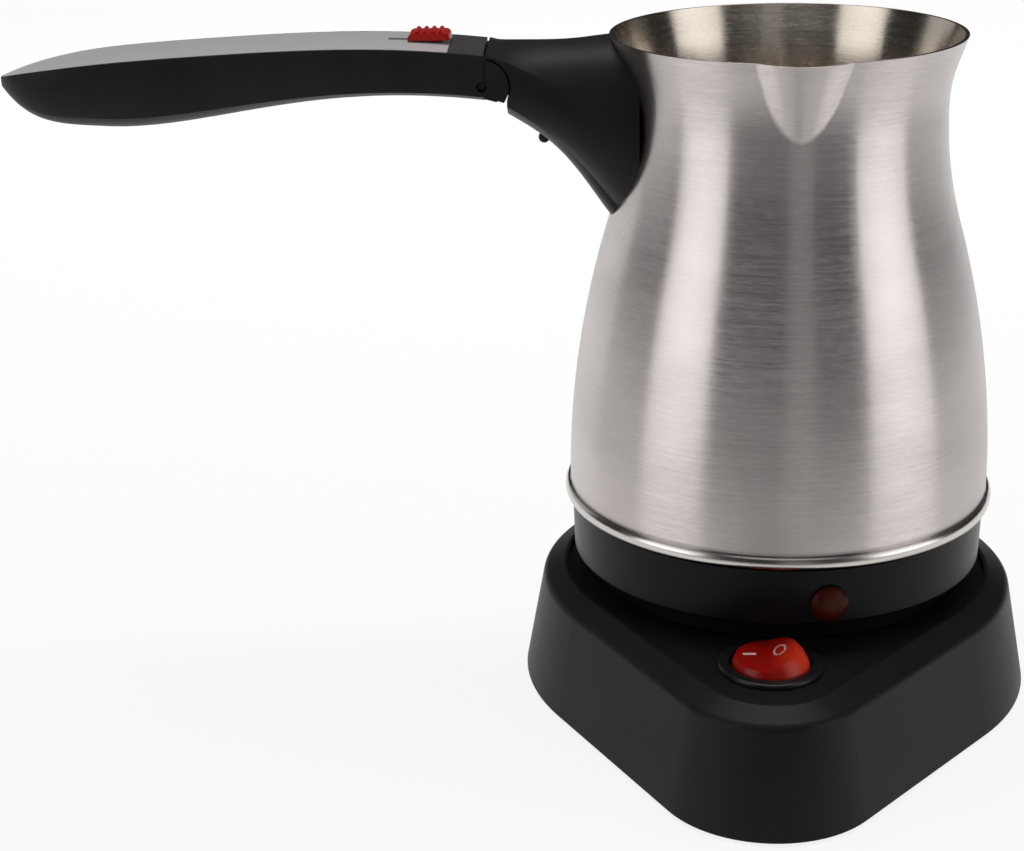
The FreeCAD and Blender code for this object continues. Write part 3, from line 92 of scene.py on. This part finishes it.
def newMaterial(name, settings):
    material = bpy.data.materials.new(name)
    material.use_nodes = True
    inputs = shaderOf(material).inputs
    inputs["Base Color"].default_value = (*settings["color"], 1.0)
    inputs["Roughness"].default_value = settings["roughness"]
    inputs["Metallic"].default_value = settings.get("metallic", 0.0)
    inputs["Specular IOR Level"].default_value = settings.get("specular", 0.5)
    inputs["Anisotropic"].default_value = settings.get("anisotropic", 0.0)
    inputs["Anisotropic Rotation"].default_value = settings.get("grainTurn", 0.0)
    return material


def objectPlace(material):
    return addNode(material, "ShaderNodeTexCoord").outputs["Object"]


# Noise on object coordinates, with its own scale on each axis, in cycles per metre
def addNoise(material, scale, detail=plainDetail):
    mapping = addNode(material, "ShaderNodeMapping")
    noise = addNode(material, "ShaderNodeTexNoise")
    feed(material, scale, mapping.inputs["Scale"])
    feed(material, 1.0, noise.inputs["Scale"])
    feed(material, detail, noise.inputs["Detail"])
    feed(material, objectPlace(material), mapping.inputs["Vector"])
    feed(material, mapping.outputs["Vector"], noise.inputs["Vector"])
    return noise.outputs["Fac"]


# Maps what the source covers, by default one noise, to low and high
def addRange(material, source, low, high, covered=oneNoise):
    node = addNode(material, "ShaderNodeMapRange")
    feed(material, covered[0], node.inputs["From Min"])
    feed(material, covered[1], node.inputs["From Max"])
    feed(material, low, node.inputs["To Min"])
    feed(material, high, node.inputs["To Max"])
    feed(material, source, node.inputs["Value"])
    return node.outputs["Result"]


def addBump(material, height, strength, distance):
    bump = addNode(material, "ShaderNodeBump")
    feed(material, strength, bump.inputs["Strength"])
    feed(material, distance, bump.inputs["Distance"])
    feed(material, height, bump.inputs["Height"])
    feed(material, bump.outputs["Normal"], shaderOf(material).inputs["Normal"])


def addBlend(material, factor, first, second):
    mix = addNode(material, "ShaderNodeMix", data_type="RGBA")
    feed(material, (*first, 1.0), mix.inputs["A"])
    feed(material, (*second, 1.0), mix.inputs["B"])
    feed(material, factor, mix.inputs["Factor"])
    return mix.outputs["Result"]


def addProduct(material, color, factor):
    mix = addNode(material, "ShaderNodeMix", data_type="RGBA", blend_type="MULTIPLY")
    feed(material, 1.0, mix.inputs["Factor"])
    feed(material, color, mix.inputs["A"])
    feed(material, factor, mix.inputs["B"])
    return mix.outputs["Result"]


# A color that a noise varies by a share of itself
def variedColor(material, noise, color, spread):
    low, high = (tuple(channel * (1.0 + sign * spread) for channel in color) for sign in (-1, 1))
    return addBlend(material, addRange(material, noise, 0.0, 1.0), low, high)


# The band of painted shade fades out between these shares of its half width
bandEdge = (0.6, 1.4)


# Painted shade: darkens the color within half of a level on Z, shadow painted into a groove and under a ring
def addPaintedShadeBand(material, color, level, half, tone):
    parts = addNode(material, "ShaderNodeSeparateXYZ")
    feed(material, objectPlace(material), parts.inputs["Vector"])
    away = addMath(material, "SUBTRACT", parts.outputs["Z"], level)
    edge = tuple(half * share for share in bandEdge)
    paintedShade = addRange(material, addMath(material, "ABSOLUTE", away), tone, 1.0, edge)
    return addProduct(material, color, paintedShade)


# A wall's normal against the way outward, as a cosine: facing the axis in full, and not at all
inwardFacing = (-0.15, 0.0)


# 1 where a wall faces the pot's own axis, 0 where it faces away
def facesAxis(material):
    place = addNode(material, "ShaderNodeTexCoord")
    across = addNode(material, "ShaderNodeVectorMath", operation="MULTIPLY")
    outward = addNode(material, "ShaderNodeVectorMath", operation="NORMALIZE")
    facing = addNode(material, "ShaderNodeVectorMath", operation="DOT_PRODUCT")
    feed(material, place.outputs["Object"], across.inputs[0])
    feed(material, (1.0, 1.0, 0.0), across.inputs[1])
    feed(material, across.outputs["Vector"], outward.inputs[0])
    feed(material, outward.outputs["Vector"], facing.inputs[0])
    feed(material, place.outputs["Normal"], facing.inputs[1])
    return addRange(material, facing.outputs["Value"], 1.0, 0.0, inwardFacing)


# Brushed steel, its lines running round the pot, polished and warmer inside, with a band of painted shade in the
# seam above the trim ring
brushedSteelSettings = {
    "color": (0.60, 0.552, 0.538),
    "insideColor": (0.64, 0.575, 0.50),
    "roughness": 0.33,
    "insideRoughness": 0.25,
    "metallic": 1.0,
    "anisotropic": 0.95,
    "grainTurn": 0.25,
    "lineScale": (55.0, 55.0, 2300.0),
    "strokeScale": (420.0, 420.0, 2600.0),
    "blotchScale": (30.0, 30.0, 70.0),
    "roughnessSpread": 0.035,
    "toneSpread": 0.13,
    "bumpStrength": 0.07,
    "bumpDistance": 0.1 * mm,
    # painted shade: a dark band on the steel at this level, shadow painted into the seam above the trim ring
    "grooveShadeLevel": 50.0 * mm,
    "grooveShadeHalf": 0.35 * mm,
    "grooveShadeTone": 0.75,
}


def brushedSteel(name, settings):
    steel = newMaterial(name, settings)
    inputs = shaderOf(steel).inputs
    inside = facesAxis(steel)
    lines = addNoise(steel, settings["lineScale"])
    strokes = addNoise(steel, settings["strokeScale"], fineDetail)
    grain = addMath(steel, "ADD", lines, strokes)
    addBump(steel, grain, settings["bumpStrength"], settings["bumpDistance"])

    rough = settings["roughness"], settings["insideRoughness"]
    spread = settings["roughnessSpread"]
    middle = addRange(steel, inside, *rough, (0.0, 1.0))
    streaks = addRange(steel, grain, -spread, spread, twoNoises)
    feed(steel, addMath(steel, "ADD", middle, streaks), inputs["Roughness"])

    # the tone wanders along the strokes and from patch to patch
    spread = settings["toneSpread"]
    patches = addMath(steel, "ADD", grain, addNoise(steel, settings["blotchScale"]))
    tone = addRange(steel, patches, 1.0 - spread, 1.0 + spread, threeNoises)
    hue = addBlend(steel, inside, settings["color"], settings["insideColor"])
    # a band of painted shade darkens the seam above the trim ring
    grooveShade = settings["grooveShadeLevel"], settings["grooveShadeHalf"], settings["grooveShadeTone"]
    color = addPaintedShadeBand(steel, addProduct(steel, hue, tone), *grooveShade)
    feed(steel, color, inputs["Base Color"])

    tangent = addNode(steel, "ShaderNodeTangent", direction_type="RADIAL", axis="Z")
    feed(steel, tangent.outputs["Tangent"], inputs["Tangent"])
    return steel


# The depth of the grain on worked metal and moulded plastic
grainDepth = 0.05 * mm


# Any other metal: fine scratches or a cast grain
def workedMetal(name, settings):
    metal = newMaterial(name, settings)
    inputs = shaderOf(metal).inputs
    grain = addNoise(metal, settings["grainScale"], fineDetail)
    middle = settings["roughness"]
    spread = settings["roughnessSpread"]
    feed(metal, addRange(metal, grain, middle - spread, middle + spread), inputs["Roughness"])
    color = variedColor(metal, grain, settings["color"], settings["toneSpread"])
    # a band of painted shade, where the finish lists one
    if "paintedShadeBand" in settings:
        color = addPaintedShadeBand(metal, color, *settings["paintedShadeBand"])
    feed(metal, color, inputs["Base Color"])
    addBump(metal, grain, settings["bumpStrength"], grainDepth)
    return metal


# Faint clouds in the sheen and the color of moulded pieces, in cycles per metre and as a share
cloudScale = (55.0, 55.0, 55.0)
cloudTone = 0.1


# Moulded plastic or rubber: a very fine grain under a soft sheen
def mouldedPlastic(name, settings):
    plastic = newMaterial(name, settings)
    inputs = shaderOf(plastic).inputs
    grain = addNoise(plastic, (settings["grainScale"],) * 3)
    clouds = addNoise(plastic, cloudScale)
    middle = settings["roughness"]
    spread = settings["roughnessSpread"]
    feed(plastic, addRange(plastic, clouds, middle - spread, middle + spread), inputs["Roughness"])
    feed(plastic, variedColor(plastic, clouds, settings["color"], cloudTone), inputs["Base Color"])
    addBump(plastic, grain, settings["bumpStrength"], grainDepth)
    return plastic


# In clear red plastic red light goes furthest, and faint swirls vary the sheen
redDepth = (1.0, 0.15, 0.08)
redDepthScale = 1.5 * mm
swirlScale = (700.0, 700.0, 700.0)


# Clear red plastic with a painted glow: a lighter heart in the color stands in for light shining through it, seen
# through a glossy face
def clearRed(name, settings, start):
    red = newMaterial(name, settings)
    inputs = shaderOf(red).inputs
    distance = addNode(red, "ShaderNodeVectorMath", operation="DISTANCE")
    feed(red, objectPlace(red), distance.inputs[0])
    feed(red, Vector(start) + Vector(settings["paintedGlowOffset"]) * mm, distance.inputs[1])
    radius = settings["paintedGlowRadius"]
    covered = (radius * settings["paintedGlowCore"], radius)
    # the color lightens towards the heart: a painted glow, not a lamp
    depth = addRange(red, distance.outputs["Value"], 0.0, 1.0, covered)
    feed(red, addBlend(red, depth, settings["paintedGlowColor"], settings["color"]), inputs["Base Color"])
    swirl = addNoise(red, swirlScale)
    rough = (settings["roughness"] * (1.0 + sign * settings["roughnessShare"]) for sign in (-1, 1))
    feed(red, addRange(red, swirl, *rough), inputs["Roughness"])
    feed(red, settings["subsurface"], inputs["Subsurface Weight"])
    feed(red, redDepth, inputs["Subsurface Radius"])
    feed(red, redDepthScale, inputs["Subsurface Scale"])
    return red


# Finishes, by the record's material slots
plasticFinishes = {
    "base_plastic": {
        "color": (0.0105, 0.0094, 0.0106), "specular": 0.14,
        "roughness": 0.45, "roughnessSpread": 0.03, "grainScale": 1500.0, "bumpStrength": 0.10,
    },
    "housing_plastic": {
        "color": (0.0045, 0.0042, 0.0048), "specular": 0.12,
        "roughness": 0.34, "roughnessSpread": 0.03, "grainScale": 1500.0, "bumpStrength": 0.06,
    },
    "foot_rubber": {
        "color": (0.012, 0.012, 0.012), "specular": 0.2,
        "roughness": 0.85, "roughnessSpread": 0.05, "grainScale": 900.0, "bumpStrength": 0.3,
    },
    "switch_plastic": {
        "color": (0.009, 0.009, 0.010), "specular": 0.30,
        "roughness": 0.30, "roughnessSpread": 0.03, "grainScale": 1500.0, "bumpStrength": 0.05,
    },
    "wire_sleeve": {
        "color": (0.62, 0.60, 0.55), "specular": 0.3,
        "roughness": 0.60, "roughnessSpread": 0.05, "grainScale": 2200.0, "bumpStrength": 0.4,
    },
    "bracket_plastic": {
        "color": (0.0190, 0.0176, 0.0192), "specular": 0.09,
        "roughness": 0.40, "roughnessSpread": 0.03, "grainScale": 1500.0, "bumpStrength": 0.04,
    },
    "grip_plastic": {
        "color": (0.0230, 0.0212, 0.0232), "specular": 0.06,
        "roughness": 0.42, "roughnessSpread": 0.03, "grainScale": 1500.0, "bumpStrength": 0.04,
    },
    "cap_plastic": {
        "color": (0.050, 0.047, 0.049), "specular": 0.28,
        "roughness": 0.42, "roughnessSpread": 0.03, "grainScale": 1500.0, "bumpStrength": 0.06,
    },
    "button_red": {
        "color": (0.42, 0.010, 0.010), "specular": 0.35,
        "roughness": 0.34, "roughnessSpread": 0.03, "grainScale": 1800.0, "bumpStrength": 0.04,
    },
    "lamp_glass": {
        "color": (0.60, 0.56, 0.52), "specular": 0.5,
        "roughness": 0.12, "roughnessSpread": 0.03, "grainScale": 500.0, "bumpStrength": 0.02,
    },
    "mark_white": {
        "color": (0.75, 0.52, 0.50), "specular": 0.3,
        "roughness": 0.45, "roughnessSpread": 0.04, "grainScale": 2500.0, "bumpStrength": 0.05,
    },
}
metalFinishes = {
    "bright_steel": {
        "color": (0.60, 0.57, 0.54), "toneSpread": 0.04, "metallic": 1.0,
        "roughness": 0.22, "roughnessSpread": 0.03,
        "grainScale": (60.0, 60.0, 1800.0), "bumpStrength": 0.02,
        # painted shade: a dark line painted on the underside of the trim ring
        "paintedShadeBand": (46.5 * mm, 0.75 * mm, 0.02),
    },
    "fixing_steel": {
        "color": (0.45, 0.45, 0.46), "toneSpread": 0.10, "metallic": 1.0,
        "roughness": 0.34, "roughnessSpread": 0.06,
        "grainScale": (900.0, 900.0, 900.0), "bumpStrength": 0.10,
    },
    "contact_brass": {
        "color": (0.72, 0.53, 0.24), "toneSpread": 0.08, "metallic": 1.0,
        "roughness": 0.30, "roughnessSpread": 0.06,
        "grainScale": (500.0, 500.0, 900.0), "bumpStrength": 0.06,
    },
    "plate_aluminium": {
        "color": (0.66, 0.66, 0.67), "toneSpread": 0.06, "metallic": 1.0,
        "roughness": 0.44, "roughnessSpread": 0.06,
        "grainScale": (300.0, 900.0, 300.0), "bumpStrength": 0.10,
    },
    "element_steel": {
        "color": (0.30, 0.28, 0.26), "toneSpread": 0.18, "metallic": 1.0,
        "roughness": 0.52, "roughnessSpread": 0.08,
        "grainScale": (400.0, 400.0, 400.0), "bumpStrength": 0.12,
    },
    "pin_painted_shade": {
        "color": (0.020, 0.020, 0.022), "toneSpread": 0.10, "metallic": 0.4,
        "roughness": 0.42, "roughnessSpread": 0.05,
        "grainScale": (900.0, 900.0, 900.0), "bumpStrength": 0.05,
    },
    "inlay_satin": {
        "color": (0.56, 0.55, 0.555), "toneSpread": 0.03, "metallic": 0.15,
        "roughness": 0.36, "roughnessSpread": 0.03,
        "grainScale": (1600.0, 1600.0, 1600.0), "bumpStrength": 0.03,
    },
}
# Lighter hearts painted into the color give the rocker and the lens a painted glow
redFinishes = {
    "rocker_red": {
        "color": (0.30, 0.005, 0.003), "specular": 0.25,
        "roughness": 0.34, "roughnessShare": 0.2, "subsurface": 0.25,
        "paintedGlowColor": (0.72, 0.045, 0.015), "paintedGlowOffset": (0.0, -13.0, -3.0),
        "paintedGlowRadius": 9.5 * mm, "paintedGlowCore": 0.2,
    },
    "lens_red": {
        "color": (0.040, 0.0022, 0.0026), "specular": 0.07,
        "roughness": 0.36, "roughnessShare": 0.2, "subsurface": 0.0,
        "paintedGlowColor": (0.060, 0.016, 0.009), "paintedGlowOffset": (0.6, -3.0, 1.0),
        "paintedGlowRadius": 4.0 * mm, "paintedGlowCore": 0.2,
    },
}
# The hinge pin shares the slot of the fixings, but it is made near black: painted shade for the dark recess its
# ends sit in
otherFinish = {"hinge_pin": "pin_painted_shade"}


def middleOf(nodeName):
    low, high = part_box(nodeName)
    return (Vector(low) + Vector(high)) / 2


materials = {"pot_steel": brushedSteel("pot_steel", brushedSteelSettings)}
for slotName, finish in plasticFinishes.items():
    materials[slotName] = mouldedPlastic(slotName, finish)
for slotName, finish in metalFinishes.items():
    materials[slotName] = workedMetal(slotName, finish)
# The offset of the painted glow's heart, in millimetres, starts at the top corner of the rocker or inside the lens
paintedGlowStarts = {"rocker_red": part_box("rocker")[1], "lens_red": middleOf("indicator_lens")}
for slotName, finish in redFinishes.items():
    materials[slotName] = clearRed(slotName, finish, paintedGlowStarts[slotName])

for row in frame["record"]["subparts"]:
    slotName = otherFinish.get(row["node"], row["material_slot"])
    nodes[row["node"]].data.materials.clear()
    nodes[row["node"]].data.materials.append(materials[slotName])
print("stage: finishes on the parts")


def addObject(name, data):
    item = bpy.data.objects.new(name, data)
    bpy.context.scene.collection.objects.link(item)
    return item


def meshFrom(name, shape, material):
    mesh = bpy.data.meshes.new(name)
    shape.to_mesh(mesh)
    shape.free()
    mesh.materials.append(material)
    return mesh


# New pieces start as a bmesh and are placed by a matrix
def addPiece(name, shape, place, slotName, body):
    bmesh.ops.transform(shape, matrix=place, verts=shape.verts)
    bmesh.ops.recalc_face_normals(shape, faces=shape.faces)
    piece = addObject(name, meshFrom(name, shape, materials[slotName]))
    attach(piece, body)
    return piece


# Marks on the rocker's two faces, in millimetres and degrees: a bar on the pressed half, a ring on
# the raised half. The faces go up from the valley between them, by rise at radius.
rockerMarks = {
    "tilt": 12.0,
    "valley": 3.9,
    "rise": 1.9,
    "radius": 8.7,
    "proud": 0.06,
    "barAt": (-3.7, 0.8),
    "barTurn": 8.0,
    "barHalf": (1.45, 0.42),
    "barEdge": 0.6,
    "ringAt": (2.85, 1.1),
    "ringHalf": (1.55, 2.35),
    "ringLine": 0.50,
    "ringSides": 48,
}


# Where a mark lies, across and along the valley, flat on the slope of its half
def onRocker(settings, across, along):
    hinge = next(joint for joint in frame["joints"] if joint["name"] == "rocker_tilt")
    vertical = Vector((0.0, 0.0, 1.0))
    axis = Vector(hinge["axis"]).normalized()
    turn = Matrix.Rotation(math.radians(-settings["tilt"]), 3, axis)
    right = turn @ axis.cross(vertical)
    upward = turn @ vertical
    slope = math.atan2(settings["rise"], settings["radius"]) * (1 if across > 0 else -1)
    outward = right * math.cos(slope) + upward * math.sin(slope)
    normal = upward * math.cos(slope) - right * math.sin(slope)
    height = settings["valley"] + settings["rise"] * abs(across) / settings["radius"]
    spot = Vector(hinge["pos_m"]) + (right * across + axis * along + upward * height) * mm
    return Matrix.Translation(spot) @ Matrix((outward, axis, normal)).transposed().to_4x4()


def barShape(settings):
    proud = settings["proud"] * mm
    half = Vector((settings["barHalf"][0] * mm, settings["barHalf"][1] * mm, proud))
    edge = proud * settings["barEdge"]
    bar = bmesh.new()
    bmesh.ops.create_cube(bar, size=2.0)
    bmesh.ops.scale(bar, vec=half, verts=bar.verts)
    bmesh.ops.bevel(bar, geom=bar.edges[:], offset=edge, affect="EDGES", segments=2, profile=0.5,
                    material=-1)
    return bar


def ringShape(settings):
    half = Vector((settings["ringHalf"][0] * mm, settings["ringHalf"][1] * mm, 1.0))
    ring = bmesh.new()
    bmesh.ops.create_circle(ring, cap_ends=True, segments=settings["ringSides"], radius=1.0)
    bmesh.ops.scale(ring, vec=half, verts=ring.verts)
    bmesh.ops.inset_region(ring, faces=ring.faces[:], thickness=settings["ringLine"] * mm,
                           use_boundary=True, use_even_offset=True)
    # the face that is left inside the line has all the sides, the line's own faces have four
    hole = [face for face in ring.faces if len(face.verts) > 4]
    bmesh.ops.delete(ring, geom=hole, context="FACES")
    bmesh.ops.solidify(ring, geom=ring.faces[:], thickness=settings["proud"] * mm)
    return ring


def addRockerMarks(settings):
    barTurn = Matrix.Rotation(math.radians(settings["barTurn"]), 4, "Z")
    barPlace = onRocker(settings, *settings["barAt"]) @ barTurn
    bar = addPiece("rockerBarMark", barShape(settings), barPlace, "mark_white", "rocker")
    ringPlace = onRocker(settings, *settings["ringAt"])
    ring = addPiece("rockerRingMark", ringShape(settings), ringPlace, "mark_white", "rocker")


addRockerMarks(rockerMarks)
print("stage: marks on the rocker")

# Camera, light and floor. Angles are in degrees, and focalPixels goes with imageWidth.
cameraSettings = {
    "place": (-44.5 * mm, -462.3 * mm, 234.6 * mm),
    "heading": -2.24,
    "tilt": 20.43,
    "roll": -1.18,
    "focalPixels": 2084.0,
    "imageWidth": 1024,
    "sensor": 36.0,
    "clipStart": 0.01,
}


def addCamera(settings):
    heading, tilt, roll = (math.radians(settings[key]) for key in ("heading", "tilt", "roll"))
    flat = math.cos(tilt)
    forward = Vector((math.sin(heading) * flat, math.cos(heading) * flat, -math.sin(tilt)))
    level = Vector((math.cos(heading), -math.sin(heading), 0.0))
    upward = level.cross(forward)
    right = level * math.cos(roll) + upward * math.sin(roll)
    above = upward * math.cos(roll) - level * math.sin(roll)
    data = bpy.data.cameras.new("camera")
    data.sensor_width = settings["sensor"]
    data.lens = settings["focalPixels"] / settings["imageWidth"] * settings["sensor"]
    data.clip_start = settings["clipStart"]
    camera = addObject("camera", data)
    turn = Matrix((right, above, -forward)).transposed()
    camera.matrix_world = Matrix.Translation(settings["place"]) @ turn.to_4x4()
    bpy.context.scene.camera = camera


# Soft boxes: glow is the radiance along a box's middle line and spread how wide its light fans
# out. The ones round the pot stand at side, the angle to the right from the camera's own side.
sideBoxes = {
    "leftBox": {
        "side": -56.0, "distance": 0.95, "level": 0.53,
        "size": (0.62, 1.02), "glow": 2.6, "spread": 100.0,
    },
    "rightBox": {
        "side": 70.0, "distance": 0.95, "level": 0.53,
        "size": (0.70, 1.02), "glow": 2.6, "spread": 100.0,
    },
    "frontBox": {
        "side": 12.0, "distance": 1.00, "level": 0.44,
        "size": (0.28, 0.84), "glow": 0.30, "spread": 100.0,
    },
    "backLeftBox": {
        "side": -128.0, "distance": 1.20, "level": 0.50,
        "size": (0.70, 0.90), "glow": 0.6, "spread": 100.0,
    },
}
overheadBoxes = {
    "topBox": {
        "place": (0.0, 0.70, 1.40), "aim": (0.0, 0.70, 0.0),
        "size": (1.8, 1.6), "glow": 8.5, "spread": 70.0,
    },
    "frontTopBox": {
        "place": (0.0, -0.70, 1.00), "aim": (0.0, 0.0, 0.05),
        "size": (0.95, 0.36), "glow": 0.65, "spread": 90.0,
    },
}


def addLight(name, place, aim, box):
    width, height = box["size"]
    half = math.radians(box["spread"]) / 2
    data = bpy.data.lights.new(name, "AREA")
    data.shape = "RECTANGLE"
    data.size, data.size_y = width, height
    data.spread = half * 2
    data.energy = box["glow"] * math.pi * width * height * (1.0 - half / math.tan(half))
    light = addObject(name, data)
    light.location = place
    light.rotation_euler = (Vector(aim) - Vector(place)).to_track_quat("-Z", "Y").to_euler()


def addSoftBoxes():
    front = math.atan2(cameraSettings["place"][1], cameraSettings["place"][0])
    for name, box in sideBoxes.items():
        angle = front + math.radians(box["side"])
        distance, level = box["distance"], box["level"]
        place = (distance * math.cos(angle), distance * math.sin(angle), level)
        addLight(name, place, (0.0, 0.0, level), box)
    for name, box in overheadBoxes.items():
        addLight(name, box["place"], box["aim"], box)


# white is the floor's share of plain white. Reflected rays see all of it from full backwards along
# Y, and only mirrored of it ahead of faded, as though the lit paper ended at the object's feet
floorSettings = {
    "color": (0.93, 0.93, 0.93),
    "roughness": 0.8,
    "specular": 0.1,
    "half": 8.0,
    "white": 0.85,
    "mirrored": 0.01,
    "faded": -0.22,
    "full": -0.10,
}


def addFloor(settings):
    paper = newMaterial("floorPaper", settings)
    parts = addNode(paper, "ShaderNodeSeparateXYZ")
    feed(paper, objectPlace(paper), parts.inputs["Vector"])
    shares = settings["mirrored"], settings["white"]
    zone = settings["faded"], settings["full"]
    mirrored = addRange(paper, parts.outputs["Y"], *shares, zone)
    rays = addNode(paper, "ShaderNodeLightPath")
    reflected = addMath(paper, "MULTIPLY", reflectedRay(paper, rays), mirrored)
    share = addMath(paper, "MULTIPLY_ADD", rays.outputs["Is Camera Ray"], settings["white"],
                    reflected, clamp=True)
    mix = addNode(paper, "ShaderNodeMixShader")
    feed(paper, share, mix.inputs["Fac"])
    feed(paper, shaderOf(paper).outputs["BSDF"], mix.inputs[1])
    feed(paper, addNode(paper, "ShaderNodeEmission").outputs["Emission"], mix.inputs[2])
    output = paper.node_tree.nodes["Material Output"]
    feed(paper, mix.outputs["Shader"], output.inputs["Surface"])
    plane = bmesh.new()
    bmesh.ops.create_grid(plane, x_segments=1, y_segments=1, size=settings["half"])
    floor = addObject("floor", meshFrom("floor", plane, paper))


# strength lights the object, seen is added for the camera and mirrored for reflected rays
worldSettings = {"strength": 0.02, "seen": 0.92, "mirrored": 0.01}


def addWorld(settings):
    world = bpy.data.worlds.new("studio")
    world.use_nodes = True
    background = world.node_tree.nodes["Background"]
    feed(world, (1.0, 1.0, 1.0, 1.0), background.inputs["Color"])
    rays = addNode(world, "ShaderNodeLightPath")
    dim = addMath(world, "MULTIPLY_ADD", reflectedRay(world, rays), settings["mirrored"],
                  settings["strength"])
    strength = addMath(world, "MULTIPLY_ADD", rays.outputs["Is Camera Ray"], settings["seen"], dim)
    feed(world, strength, background.inputs["Strength"])
    bpy.context.scene.world = world
    bpy.context.scene.view_settings.view_transform = "Standard"


addCamera(cameraSettings)
addSoftBoxes()
addFloor(floorSettings)
addWorld(worldSettings)
print("stage: camera, light and floor")
